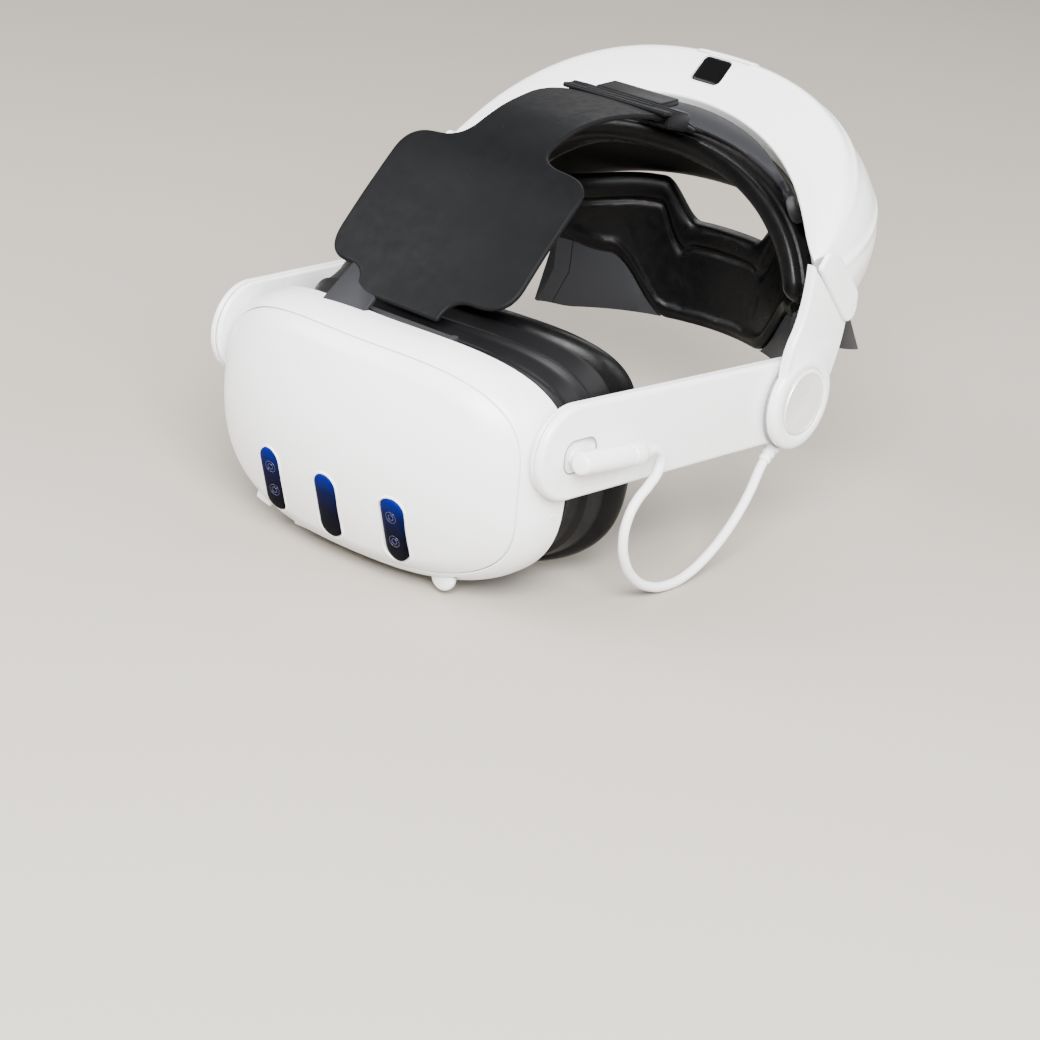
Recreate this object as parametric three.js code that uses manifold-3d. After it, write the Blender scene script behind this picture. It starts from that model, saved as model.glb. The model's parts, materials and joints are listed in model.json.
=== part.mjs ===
// A VR headset with a halo battery strap, in millimetres, +Z up.
// The origin is the middle of the line between the two hinge drums: the centre of the wearer's head.
// +X is the wearer's left, +Y the back of the head.
import * as THREE from 'three';
import { mergeVertices } from 'three/addons/utils/BufferGeometryUtils.js';
import Module from 'manifold-3d';

const wasm = await Module();
wasm.setup();

// ---------- driving dimensions ----------
const GAP = 0.3; // clearance between neighbouring pieces
const VISOR_Y = -179.6; // the crown of the visor's face
const VISOR_Z = -14.5; // the visor's middle height
const VISOR_HALF_WIDTH = 82;
const VISOR_HALF_HEIGHT = 48.5;
const VISOR_CORNER = 3.2; // exponent of the visor's rounded outline
const VISOR_FLAT = 47.2; // the underside is cut flat at this depth below the middle
const FACE_RADIUS_X = 188; // the face curves this much from side to side
const FACE_RADIUS_Z = 88; // and this much from top to bottom
const FACE_CROWN_Z = 5.5;
const SIDE_WRAP = 5.2; // the face turns back this much more at its left and right edges
const SIDE_WRAP_X = 76.6;
const PLATE_INSET = 5; // the front plate is this much smaller than the shell all round
const PLATE_THICKNESS = 2.4;
const PLATE_EDGE_DROP = 2.5;
const SHELL_DEPTH = 29.6; // from the crown to the shell's rear edge, at the middle
const SHELL_REAR_RADIUS = 177;
const SHELL_WALL = 2.6;
const PILL_X = 32;
const PILL_Z = -25;
const PILL_HALF_WIDTH = 5.2;
const PILL_HALF_HEIGHT = 14;
const PILL_TILT = Math.atan2(FACE_CROWN_Z - PILL_Z, FACE_RADIUS_Z);
const EYE_X = 32;
const BARREL_RADIUS = 24;
const EYE_TRAVEL = 3.2; // each lens barrel moves this much each way
const WHEEL_X = 45;
const WHEEL_Z = -44.2;
const WHEEL_RADIUS = 7;
const WHEEL_Y = 26.5;
const RACK_Y = 26.2;
const PINION_Z = -31.2;
const PINION_RADIUS = 3;
const FAN_Z = 28.5;
const FAN_RADIUS = 13;
const BUTTON_Y = 25.2;
const POWER_X = -50;
const ROCKER_X = -24;
const ARM_FRONT_Y = -137.1; // the centre of the arm's rounded front end
const ARM_FRONT_Z = 3.2;
const ARM_FRONT_RADIUS = 19.4;
const ARM_REAR_RADIUS = 18;
const ARM_INNER_X = 82.5;
const ARM_THICKNESS = 5.8;
const ARM_SPLAY = 0.0505; // the arms open outwards by this much for each millimetre back
const DRUM_RADIUS = 20.5;
const DRUM_INNER_X = 96.3;
const DRUM_OUTER_X = 101;
const CAP_RADIUS = 13.5;
const CAP_INNER_X = 100.3;
const CAP_OUTER_X = 101.4;
const LOCK_RADIUS = 4;
const PIN_RADIUS = 3;
const ARCH_TILT = THREE.MathUtils.degToRad(42.6); // the crescent's plane leans back by this much
const ARCH_PLANE = 47.7; // its distance from the hinge line
const COVER_DEPTH = 7;
const PLAN_HALF_WIDTH = 103; // the battery housing, seen from above
const PLAN_REACH = 95;
const PLAN_CORNER = 2.4;
const HEAD_WIDTH = 70; // half the width inside the nape pad
const HEAD_REACH = 78;
const STRAP_THICKNESS = 2.4;
const LEAD_RADIUS = 2;
const CUSHION_CLEARANCE = 0.8; // between the arch cushion and the halo behind it

// ---------- materials ----------
function material(colour, roughness, metalness = 0) {
  return new THREE.MeshStandardMaterial({ color: colour, roughness, metalness });
}
const WHITE = material(0xeff0f0, 0.35);
const WHITE_GLOSS = material(0xf4f4f5, 0.22);
const CHARCOAL = material(0x2b2c2f, 0.5);
const DARK_GREY = material(0x3c3d41, 0.5);
const LEATHER = material(0x151516, 0.55);
const BLACK = material(0x101113, 0.4);
const WINDOW = material(0x0a0f2e, 0.08);
const GLASS = material(0x9fb4c4, 0.05);
const STEEL = material(0xb9bcc0, 0.3, 1);
const BRUSHED = material(0xe6e7e8, 0.3, 0.3);
const BOARD = material(0x174a35, 0.6);
const CELL = material(0x4a6fa5, 0.45);

// ---------- solids ----------
function toSolid(geometry) {
  const bare = new THREE.BufferGeometry();
  bare.setAttribute('position', geometry.getAttribute('position'));
  if (geometry.index) bare.setIndex(geometry.index);
  const merged = mergeVertices(bare, 1e-4);
  return new wasm.Manifold(
    new wasm.Mesh({
      numProp: 3,
      vertProperties: new Float32Array(merged.getAttribute('position').array),
      triVerts: new Uint32Array(merged.index.array),
    }),
  );
}

function toGeometry(solid) {
  const mesh = solid.getMesh();
  const geometry = new THREE.BufferGeometry();
  geometry.setAttribute('position', new THREE.BufferAttribute(mesh.vertProperties, 3));
  geometry.setIndex(new THREE.BufferAttribute(mesh.triVerts, 1));
  return geometry;
}

function cut(base, ...tools) {
  return toGeometry(tools.reduce((solid, tool) => solid.subtract(toSolid(tool)), toSolid(base)));
}

function join(base, ...others) {
  return toGeometry(others.reduce((solid, other) => solid.add(toSolid(other)), toSolid(base)));
}

function common(a, b) {
  return toGeometry(toSolid(a).intersect(toSolid(b)));
}

// Turns the faces outwards if the surface encloses a negative volume.
function facingOut(geometry) {
  const position = geometry.getAttribute('position');
  const index = geometry.index.array;
  const a = new THREE.Vector3();
  const b = new THREE.Vector3();
  const c = new THREE.Vector3();
  let volume = 0;
  for (let i = 0; i < index.length; i += 3) {
    a.fromBufferAttribute(position, index[i]);
    b.fromBufferAttribute(position, index[i + 1]);
    c.fromBufferAttribute(position, index[i + 2]);
    volume += a.dot(b.cross(c));
  }
  if (volume < 0) {
    for (let i = 0; i < index.length; i += 3) {
      [index[i], index[i + 1]] = [index[i + 1], index[i]];
    }
  }
  return geometry;
}

// Skins a list of rings with equal counts of [x, y, z] points.
// The ends are closed by fans, or the last ring meets the first when joined is true.
function loft(rings, joined = false) {
  const count = rings[0].length;
  const points = rings.flat();
  const faces = [];
  const bands = joined ? rings.length : rings.length - 1;
  for (let band = 0; band < bands; band += 1) {
    const here = band * count;
    const next = ((band + 1) % rings.length) * count;
    for (let i = 0; i < count; i += 1) {
      const j = (i + 1) % count;
      faces.push(here + i, here + j, next + j, here + i, next + j, next + i);
    }
  }
  if (!joined) {
    for (const [ring, flip] of [[0, true], [rings.length - 1, false]]) {
      const centre = [0, 1, 2].map((k) => rings[ring].reduce((sum, p) => sum + p[k], 0) / count);
      const hub = points.push(centre) - 1;
      for (let i = 0; i < count; i += 1) {
        const a = ring * count + i;
        const b = ring * count + ((i + 1) % count);
        faces.push(...(flip ? [hub, b, a] : [hub, a, b]));
      }
    }
  }
  const geometry = new THREE.BufferGeometry();
  geometry.setAttribute('position', new THREE.Float32BufferAttribute(points.flat(), 3));
  geometry.setIndex(faces);
  return facingOut(geometry);
}

function box(width, depth, height, x = 0, y = 0, z = 0) {
  return new THREE.BoxGeometry(width, depth, height).translate(x, y, z);
}

// A cylinder along one axis, from a start to an end.
function rod(axis, radius, start, end, u = 0, v = 0, sides = 24) {
  const geometry = new THREE.CylinderGeometry(radius, radius, end - start, sides);
  const middle = (start + end) / 2;
  if (axis === 'x') return geometry.rotateZ(Math.PI / 2).translate(middle, u, v);
  if (axis === 'y') return geometry.translate(u, middle, v);
  return geometry.rotateX(Math.PI / 2).translate(u, v, middle);
}

// A turned piece about the Y axis, from [radius, y] points.
function turned(profile, x = 0, z = 0, sides = 32) {
  const points = profile.map(([radius, y]) => new THREE.Vector2(radius, y));
  return facingOut(mergedLathe(points, sides)).translate(x, 0, z);
}

function mergedLathe(points, sides) {
  const lathe = new THREE.LatheGeometry(points, sides);
  lathe.deleteAttribute('normal');
  lathe.deleteAttribute('uv');
  return mergeVertices(lathe, 1e-4);
}

// Extrudes a shape drawn in (y, z) along X, from a start.
function extrudedAlongX(shape, start, thickness, bevel = 0, curveSegments = 8) {
  const geometry = new THREE.ExtrudeGeometry(shape, {
    depth: thickness - 2 * bevel,
    bevelEnabled: bevel > 0,
    bevelThickness: bevel,
    bevelSize: bevel,
    bevelOffset: -bevel,
    bevelSegments: 1,
    curveSegments,
  });
  return geometry.rotateY(Math.PI / 2).rotateX(Math.PI / 2).translate(start + bevel, 0, 0);
}

// Extrudes a shape drawn in (x, z) along Y, from a start.
function extrudedAlongY(shape, start, thickness, curveSegments = 6) {
  const geometry = new THREE.ExtrudeGeometry(shape, {
    depth: thickness,
    bevelEnabled: false,
    curveSegments,
  });
  return geometry.rotateX(Math.PI / 2).translate(0, start + thickness, 0);
}

function roundedRectangle(halfWidth, halfHeight, radius, x = 0, y = 0) {
  const shape = new THREE.Shape();
  const w = halfWidth - radius;
  const h = halfHeight - radius;
  shape.absarc(x + w, y + h, radius, 0, Math.PI / 2, false);
  shape.absarc(x - w, y + h, radius, Math.PI / 2, Math.PI, false);
  shape.absarc(x - w, y - h, radius, Math.PI, 1.5 * Math.PI, false);
  shape.absarc(x + w, y - h, radius, 1.5 * Math.PI, 2 * Math.PI, false);
  shape.closePath();
  return shape;
}

function mirrored(geometry) {
  const copy = geometry.clone().scale(-1, 1, 1);
  const bare = new THREE.BufferGeometry();
  bare.setAttribute('position', copy.getAttribute('position'));
  if (copy.index) bare.setIndex(copy.index);
  return facingOut(mergeVertices(bare, 1e-4));
}

const model = new THREE.Group();
const visor = new THREE.Group();
visor.position.set(0, VISOR_Y, VISOR_Z);
const arms = new THREE.Group();
const cradle = new THREE.Group();
model.add(visor, arms, cradle);

function add(group, name, geometry, finish) {
  const mesh = new THREE.Mesh(geometry, finish);
  mesh.name = name;
  group.add(mesh);
}

// Adds a piece for the wearer's left and its mirror image for the right.
function addPair(group, name, geometry, finish) {
  add(group, `${name}_left`, geometry, finish);
  add(group, `${name}_right`, mirrored(geometry), finish);
}

// ---------- visor ----------
// A point of the superellipse with these half axes and exponent.
function superellipse(halfWidth, halfHeight, exponent, angle) {
  const power = 2 / exponent;
  const c = Math.cos(angle);
  const s = Math.sin(angle);
  return [
    halfWidth * Math.sign(c) * Math.abs(c) ** power,
    halfHeight * Math.sign(s) * Math.abs(s) ** power,
  ];
}

function visorOutline(inset, count = 32) {
  return Array.from({ length: count }, (_, i) => {
    const angle = (2 * Math.PI * (i + 0.5)) / count;
    const [x, z] = superellipse(VISOR_HALF_WIDTH - inset, VISOR_HALF_HEIGHT - inset, VISOR_CORNER, angle);
    return [x, Math.max(z, -VISOR_FLAT + Math.max(0, inset - 1))];
  });
}

function faceY(x, z) {
  const wrap = SIDE_WRAP * (x / SIDE_WRAP_X) ** 4;
  return x ** 2 / (2 * FACE_RADIUS_X) + wrap + (z - FACE_CROWN_Z) ** 2 / (2 * FACE_RADIUS_Z);
}

function seamY(x, z) {
  return faceY(x, z) + PLATE_EDGE_DROP;
}

function shellRearY(x) {
  return SHELL_DEPTH + x ** 2 / (2 * SHELL_REAR_RADIUS);
}

// A plate with the visor's outline, from front(x, z) to back(x, z).
function outlinePlate(inset, front, back, steps) {
  const rim = visorOutline(inset);
  const ring = (scale, surface) =>
    rim.map(([x, z]) => [x * scale, surface(x * scale, z * scale, scale), z * scale]);
  return loft([
    ...steps.map((scale) => ring(scale, front)),
    ...steps.toReversed().map((scale) => ring(scale, back)),
  ]);
}

function pillShape(grow) {
  return roundedRectangle(PILL_HALF_WIDTH + grow, PILL_HALF_HEIGHT + grow, PILL_HALF_WIDTH + grow);
}

// A pill prism through the face at one window, tilted with the face there.
function pillPrism(x, grow, start, thickness) {
  return extrudedAlongY(pillShape(grow), start, thickness, 3)
    .rotateX(PILL_TILT)
    .translate(x, faceY(x, PILL_Z), PILL_Z);
}

const PILLS = { left: PILL_X, middle: 0, right: -PILL_X };

function frontPlate() {
  const edge = (scale) => PLATE_EDGE_DROP * Math.max(0, (scale - 0.86) / 0.14) ** 2;
  const plate = outlinePlate(
    PLATE_INSET,
    (x, z, scale) => faceY(x, z) + edge(scale),
    (x, z, scale) => faceY(x, z) + edge(scale) + PLATE_THICKNESS,
    [0.25, 0.6, 0.86, 0.95, 1],
  );
  return cut(plate, ...Object.values(PILLS).map((x) => pillPrism(x, 0, -6, 14)));
}

// The shell's section: an inset from the outline and a share of the way from seam to rear edge.
const SHELL_OUTSIDE = [[4.7, 0.02], [2.4, 0.12], [0.8, 0.33], [0, 0.6], [0, 1]];
const SHELL_INSIDE = [[SHELL_WALL, 1], [SHELL_WALL, 0.6], [SHELL_WALL + 0.8, 0.33], [4.7, 0.14]];

// The bore across the visor for the pins that hold the arms.
function lockHole() {
  return rod('x', LOCK_RADIUS + GAP, -95, 95, ARM_FRONT_Y - VISOR_Y, ARM_FRONT_Z - VISOR_Z, 12);
}

function visorShell() {
  const ring = ([inset, share]) =>
    visorOutline(inset).map(([x, z]) => [
      x,
      seamY(x, z) * (1 - share) + shellRearY(x) * share,
      z,
    ]);
  const shell = loft([...SHELL_OUTSIDE, ...SHELL_INSIDE].map(ring), true);
  const wheelSlot = box(2 * WHEEL_RADIUS + 1, 4.2, 14, WHEEL_X, WHEEL_Y, -44.5);
  const powerSlot = box(9, 3.6, 14, POWER_X, BUTTON_Y, -44);
  const rockerSlot = box(18, 3.6, 12, ROCKER_X, BUTTON_Y, -47);
  return cut(shell, lockHole(), wheelSlot, powerSlot, rockerSlot);
}

function chassis() {
  const plate = outlinePlate(
    SHELL_WALL + 2.4,
    (x) => shellRearY(x) - 9.2,
    (x) => shellRearY(x) - 7,
    [0.3, 0.75, 1],
  );
  const hole = (x) => rod('y', BARREL_RADIUS + EYE_TRAVEL + 1.9, 0, 60, x, 0, 24);
  const wheelRelief = box(18, 12, 16, WHEEL_X, 24, -44);
  const rackRelief = box(44, 12, 15, 40, 24, -33.4);
  const buttonRelief = box(48, 12, 10, -37, 24, -44);
  const pinionBore = rod('y', 1.5, 10, 30, 0, PINION_Z, 10);
  return cut(plate, hole(EYE_X), hole(-EYE_X), wheelRelief, rackRelief, buttonRelief, pinionBore);
}

function cameraModule(x) {
  const board = box(9, 1.2, 26, 0, 2.6, 0);
  const barrel = (z) => rod('y', 3, 0, 2.4, 0, z, 12);
  return join(board, barrel(6.5), barrel(-6.5))
    .rotateX(PILL_TILT)
    .translate(x, faceY(x, PILL_Z) + 3, PILL_Z);
}

function depthProjector() {
  return join(box(9, 2, 20, 0, 3, 0), rod('y', 3.4, 0, 2.2, 0, 0, 12))
    .rotateX(PILL_TILT)
    .translate(0, faceY(0, PILL_Z) + 3, PILL_Z);
}

function heatSink() {
  const grooves = [-18, -10.8, -3.6, 3.6, 10.8, 18].map((x) => box(3.6, 3, 40, x, 9.6, 0));
  return cut(box(46, 4.4, 22, 0, 12.1, -2), ...grooves);
}

function fanHousing() {
  const inner = FAN_RADIUS - 1.4;
  const cup = turned([[0, 17], [FAN_RADIUS, 17], [FAN_RADIUS, 12], [inner, 12], [inner, 16], [0, 16]],
    0, FAN_Z, 20);
  return cut(cup, box(8, 3, 8, 0, 14.4, FAN_Z + FAN_RADIUS));
}

function fanRotor() {
  const hub = rod('y', 4.5, 12.4, 15.7, 0, FAN_Z, 16);
  const blades = Array.from({ length: 7 }, (_, i) =>
    box(6.6, 2.6, 0.9, 7.2, 14.2, 0).rotateY((2 * Math.PI * i) / 7).translate(0, 0, FAN_Z));
  return join(hub, ...blades);
}

// A lens barrel with its flange, two rod ears and its rack.
function lensBarrel() {
  const tube = turned([[22.3, 18.4], [25, 18.4], [25, 20.2], [BARREL_RADIUS, 20.6], [BARREL_RADIUS, 46],
    [22.3, 46], [22.3, 18.4]], EYE_X, 0, 24);
  const ears = [1, -1].map((side) => box(9, 3.2, 6.4, EYE_X, 18.6, side * 25.4));
  const bores = [1, -1].map((side) => rod('x', 1.2 + GAP, 0, 70, 18.6, side * 25.4, 10));
  return cut(join(tube, ...ears), ...bores);
}

// The left barrel's rack passes under the pinion and over the wheel.
function leftBarrel() {
  const rack = box(62, 2, 2.2, 23, RACK_Y, -35.8);
  const stem = box(5, 2, 12, EYE_X, RACK_Y, -29.5);
  return join(lensBarrel(), rack, stem);
}

// The right barrel's rack passes over the pinion.
function rightBarrel() {
  const rack = box(40, 2, 2, -14, RACK_Y, -27.2);
  const stem = box(5, 2, 4, -EYE_X, RACK_Y, -25);
  return join(mirrored(lensBarrel()), rack, stem);
}

function lens() {
  return turned([[0, 37.4], [12, 38.2], [22, 41.2], [22, 43], [12, 44.8], [0, 45.2]], 0, 0, 20);
}

function ipdWheel() {
  const grooves = Array.from({ length: 12 }, (_, i) =>
    rod('y', 0.5, 20, 30, WHEEL_RADIUS, 0, 4)
      .rotateY((2 * Math.PI * i) / 12)
      .translate(WHEEL_X, 0, WHEEL_Z));
  return cut(rod('y', WHEEL_RADIUS, WHEEL_Y - 1.6, WHEEL_Y + 1.6, WHEEL_X, WHEEL_Z, 24), ...grooves);
}

function ipdPinion() {
  const gear = rod('y', PINION_RADIUS - GAP, RACK_Y - 1, RACK_Y + 1, 0, PINION_Z, 16);
  return join(gear, rod('y', 1.2, 21, RACK_Y, 0, PINION_Z, 10));
}

function buildVisor() {
  add(visor, 'front_plate', frontPlate(), WHITE_GLOSS);
  add(visor, 'visor_shell', visorShell(), WHITE);
  add(visor, 'visor_chassis', chassis(), BLACK);
  for (const [side, x] of Object.entries(PILLS)) {
    add(visor, `sensor_window_${side}`, pillPrism(x, -GAP, 0.3, 1.6), WINDOW);
  }
  add(visor, 'camera_module_left', cameraModule(PILL_X), BLACK);
  add(visor, 'camera_module_right', cameraModule(-PILL_X), BLACK);
  add(visor, 'depth_projector', depthProjector(), BLACK);
  add(visor, 'mainboard', box(96, 1.2, 30, 0, 15.4, -2), BOARD);
  add(visor, 'heat_sink', heatSink(), STEEL);
  add(visor, 'fan_housing', fanHousing(), BLACK);
  add(visor, 'fan_rotor', fanRotor(), DARK_GREY);
  add(visor, 'visor_battery', box(9, 6, 36, 63.9, 27.4, 1), CELL);
  for (const [name, side] of [['upper', 1], ['lower', -1]]) {
    add(visor, `guide_rod_${name}`, rod('x', 1.2, -50, 50, 18.6, side * 25.4, 10), STEEL);
  }
  add(visor, 'lens_barrel_left', leftBarrel(), BLACK);
  add(visor, 'lens_barrel_right', rightBarrel(), BLACK);
  addPair(visor, 'lens', lens().translate(EYE_X, 0, 0), GLASS);
  addPair(visor, 'display', box(35, 1.4, 35, EYE_X, 17.2, 0), BLACK);
  add(visor, 'ipd_wheel', ipdWheel(), BLACK);
  add(visor, 'ipd_pinion', ipdPinion(), STEEL);
  add(visor, 'power_button', box(8.2, 3, 5, POWER_X, BUTTON_Y, -44.2), WHITE);
  add(visor, 'volume_rocker', box(17, 3, 3.6, ROCKER_X, BUTTON_Y, -46.2), WHITE);
}

// ---------- face interface ----------
const RIM_HALF_WIDTH = 79;
const RIM_HALF_HEIGHT = 52;
const RIM_Z = 2;
const RIM_CORNER = 4;
const RIM_DEPTH = 71.6; // from the crown to the cushion's rear face, at the middle
const RIM_RADIUS = 160;
const TEMPLE_WRAP = 10; // the rim turns back this much more at the temples
const CUSHION_THICKNESS = 14;
const CUSHION_WIDTH = 17;
const NOSE_RISE = 24;
const NOSE_HALF_WIDTH = 15;

// The outline that meets the face: a superellipse that rises over the nose.
function rimOutline(inset, count = 32) {
  return Array.from({ length: count }, (_, i) => {
    const angle = (2 * Math.PI * (i + 0.5)) / count;
    const [x, z] = superellipse(RIM_HALF_WIDTH - inset, RIM_HALF_HEIGHT - inset, RIM_CORNER, angle);
    const nose = z < 0 ? NOSE_RISE * Math.exp(-((x / (NOSE_HALF_WIDTH + inset / 2)) ** 2)) : 0;
    return [x, z + RIM_Z + nose];
  });
}

function rimY(x) {
  return RIM_DEPTH + x ** 2 / (2 * RIM_RADIUS) + TEMPLE_WRAP * (x / RIM_HALF_WIDTH) ** 6;
}

// A ring part of the way from the visor's outline to the rim's.
function interfaceRing(visorInset, rimInset, share, offset) {
  const from = visorOutline(visorInset);
  const to = rimOutline(rimInset);
  return from.map(([x, z], i) => {
    const [rx, rz] = to[i];
    const px = x + (rx - x) * share;
    const start = shellRearY(px) + offset;
    const end = rimY(rx) - CUSHION_THICKNESS - GAP;
    return [px, start + (end - start) * share, z + (rz - z) * share];
  });
}

function faceInterface() {
  const wall = 1.8;
  const outside = [[4, 3, 0, -2.2], [4, 3, 0, 1], [7, 3, 0, 3], [7, 3, 0.45, 3], [7, 3, 1, 3]];
  const inside = outside.map(([a, b, share, offset]) => [a + wall, b + wall, share, offset]);
  return loft([...outside, ...inside.toReversed()].map((ring) => interfaceRing(...ring)), true);
}

function faceCushion() {
  const half = CUSHION_THICKNESS / 2;
  const section = Array.from({ length: 8 }, (_, i) =>
    superellipse(CUSHION_WIDTH / 2, half, 3, (2 * Math.PI * (i + 0.5)) / 8));
  return loft(section.map(([across, along]) =>
    rimOutline(CUSHION_WIDTH / 2 + across).map(([x, z]) => [x, rimY(x) - half + along, z])), true);
}

function buildFace() {
  add(visor, 'face_interface', faceInterface(), BLACK);
  add(visor, 'face_cushion', faceCushion(), LEATHER);
}

// ---------- arms ----------
// The arm in side view: two circles joined by their tangents.
function armShape(inset) {
  const shape = new THREE.Shape();
  const reach = Math.hypot(ARM_FRONT_Y, ARM_FRONT_Z);
  const lean = Math.atan2(ARM_FRONT_Z, ARM_FRONT_Y);
  const tangent = Math.acos((ARM_FRONT_RADIUS - ARM_REAR_RADIUS) / reach);
  shape.absarc(ARM_FRONT_Y, ARM_FRONT_Z, ARM_FRONT_RADIUS - inset, lean - tangent, lean + tangent, false);
  shape.absarc(0, 0, ARM_REAR_RADIUS - inset, lean + tangent, lean - tangent + 2 * Math.PI, false);
  shape.closePath();
  return shape;
}

function splayed(geometry) {
  const position = geometry.getAttribute('position');
  for (let i = 0; i < position.count; i += 1) {
    position.setX(i, position.getX(i) + ARM_SPLAY * (position.getY(i) - ARM_FRONT_Y));
  }
  return geometry;
}

const PORT_Y = -134.1;
const PORT_Z = 2;
const COVER_SPLIT = 1.9; // thickness of the arm's inner cover

function armOuter(withPort) {
  const thickness = ARM_THICKNESS - COVER_SPLIT - GAP;
  const solid = extrudedAlongX(armShape(0), ARM_INNER_X + COVER_SPLIT + GAP, thickness, 1.2);
  const cavity = extrudedAlongX(armShape(2), ARM_INNER_X + COVER_SPLIT - 1, 3.4, 0);
  const pinBore = rod('x', PIN_RADIUS + GAP, 80, 100, 0, 0, 16);
  const port = withPort
    ? [extrudedAlongX(roundedRectangle(9, 6.6, 5, PORT_Y, PORT_Z), 86, 6, 0, 4)]
    : [];
  return cut(splayed(cut(solid, cavity)), pinBore, ...port);
}

function armInner() {
  const plate = extrudedAlongX(armShape(0.4), ARM_INNER_X, COVER_SPLIT);
  const lockBore = rod('x', LOCK_RADIUS + GAP, 80, 100, ARM_FRONT_Y, ARM_FRONT_Z, 12);
  return cut(splayed(plate), rod('x', PIN_RADIUS + GAP, 80, 100, 0, 0, 16), lockBore);
}

function hingePin() {
  return join(rod('x', 6.5, 86.6, 89.1, 0, 0, 20), rod('x', PIN_RADIUS, 88, 99.6, 0, 0, 16));
}

const PLUG_X = 94;
const PLUG_RADIUS = 4.6;
const PLUG_FRONT_Y = -142.1;
const PLUG_REAR_Y = -101.2;

// The plug: a cylinder along the arm and a stem into the port.
function powerPlug() {
  const length = PLUG_REAR_Y - PLUG_FRONT_Y;
  const body = turned([[0, 0], [PLUG_RADIUS - 1.2, 0], [PLUG_RADIUS, 1.2], [PLUG_RADIUS, length - 3],
    [PLUG_RADIUS - 1.6, length - 0.6], [2.6, length], [0, length]], 0, 0, 18)
    .rotateX(-0.075)
    .rotateZ(-ARM_SPLAY)
    .translate(PLUG_X, PLUG_FRONT_Y, PORT_Z);
  const stem = extrudedAlongX(roundedRectangle(5.4, 3.4, 3.2, PORT_Y, PORT_Z - 0.4), 87, 5.5, 0, 4);
  return join(body, stem);
}

// The lead's route from the gland under the drum to the plug's rear end.
const LEAD_ROUTE = [
  [91.8, -8.6, -25.6], [92.3, -12.4, -29.7], [93.7, -18.6, -36.2], [94.6, -26.2, -43.9],
  [95.3, -35.9, -51.5], [95.9, -47.6, -58.2], [96.2, -60.2, -62.9], [96.2, -73.4, -64.3],
  [95.9, -86.5, -61.8], [95.7, -97.6, -55.5], [95.9, -105.4, -46.6], [96, -108.8, -37.1],
  [96, -107.8, -28.1], [95.9, -103, -21], [95.9, -96.7, -16.5], [95.8, -91.3, -11.4],
  [95.7, -90.4, -5.9], [95.5, -93.9, -2.2], [95.6, -100.7, -1.2],
];

function powerLead() {
  const points = LEAD_ROUTE.map((p) => new THREE.Vector3(...p));
  const route = new THREE.CatmullRomCurve3(points, false, 'centripetal');
  const section = new THREE.Shape();
  section.absarc(0, 0, LEAD_RADIUS, 0, 2 * Math.PI, false);
  return new THREE.ExtrudeGeometry(section, { steps: 42, extrudePath: route, curveSegments: 4 });
}

function leadGland() {
  const [x, y, z] = LEAD_ROUTE[0];
  return new THREE.CylinderGeometry(3.6, 2.8, 7, 14)
    .translate(0, 3.5 + GAP, 0)
    .rotateX(Math.PI / 4)
    .translate(x, y, z);
}

function buildArms() {
  add(arms, 'arm_outer_left', armOuter(true), WHITE);
  add(arms, 'arm_outer_right', mirrored(armOuter(false)), WHITE);
  addPair(arms, 'arm_inner', armInner(), WHITE);
  addPair(arms, 'speaker', splayed(box(1.4, 34, 14, ARM_INNER_X + COVER_SPLIT + 1.3, -70, 2.5)), BLACK);
  addPair(arms, 'arm_lock_pin', rod('x', LOCK_RADIUS, 78.9, 84.2, ARM_FRONT_Y, ARM_FRONT_Z, 12), STEEL);
  addPair(arms, 'hinge_pin', hingePin(), STEEL);
  add(arms, 'lead_gland', leadGland(), WHITE);
  add(arms, 'power_plug', powerPlug(), WHITE);
  add(arms, 'power_lead', powerLead(), WHITE);
}

// ---------- halo cradle ----------
// A point given in the crescent's plane: x, the way up the plane, and the height off it.
function onArch(x, up, off) {
  return [
    x,
    up * Math.cos(ARCH_TILT) - off * Math.sin(ARCH_TILT),
    up * Math.sin(ARCH_TILT) + off * Math.cos(ARCH_TILT),
  ];
}

const TIP_ANGLE = THREE.MathUtils.degToRad(10);
const INNER_TIP_ANGLE = THREE.MathUtils.degToRad(21);

// The angle at a share of the way from the left tip to the right one.
function spread(start, share) {
  return start + share * (Math.PI - 2 * start);
}

function crescentInner(share) {
  const angle = spread(INNER_TIP_ANGLE, share);
  const flare = 8 * Math.abs(2 * share - 1) ** 10;
  return [
    96 * Math.cos(angle) + flare * Math.sign(Math.cos(angle)),
    6.1 + 88.7 * Math.sin(angle),
  ];
}

function crescentOuter(share) {
  const [x, up] = superellipse(100.4, 106.6, 2.3, spread(TIP_ANGLE, share));
  return [x, 18 + up];
}

// The housing's wall from above, at an inset, as [x, y].
function housingPlan(inset, startAngle, share) {
  return superellipse(PLAN_HALF_WIDTH - inset, PLAN_REACH - inset, PLAN_CORNER, spread(startAngle, share));
}

// The closed section of the halo housing at a share of the way round, shrunk by an inset.
function haloSection(share, inset) {
  const middle = Math.sin(Math.PI * share);
  const [ix, iu] = crescentInner(share);
  const [ox, ou] = crescentOuter(share);
  const shoulder = housingPlan(2 + inset, 0.06, share);
  const low = housingPlan(0 + inset, 0.12, share);
  const foot = housingPlan(4 + inset, 0.2, share);
  const inner = housingPlan(17 - inset, 0.2, share);
  const shrink = Math.min(inset, 3);
  const bottom = 36.5 + 17 * middle ** 1.5 + inset;
  return [
    onArch(ix * (1 + (shrink * 0.6) / 96), iu + shrink, ARCH_PLANE),
    onArch(ox * (1 - shrink / 100), ou - shrink, ARCH_PLANE),
    [shoulder[0], shoulder[1] * (0.86 + 0.14 * (1 - middle)), 62 + 36 * middle ** 0.8 - inset],
    [low[0], low[1], 50 + 24 * middle],
    [foot[0], foot[1], bottom],
    [inner[0], inner[1], bottom + 1.5],
  ];
}

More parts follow.
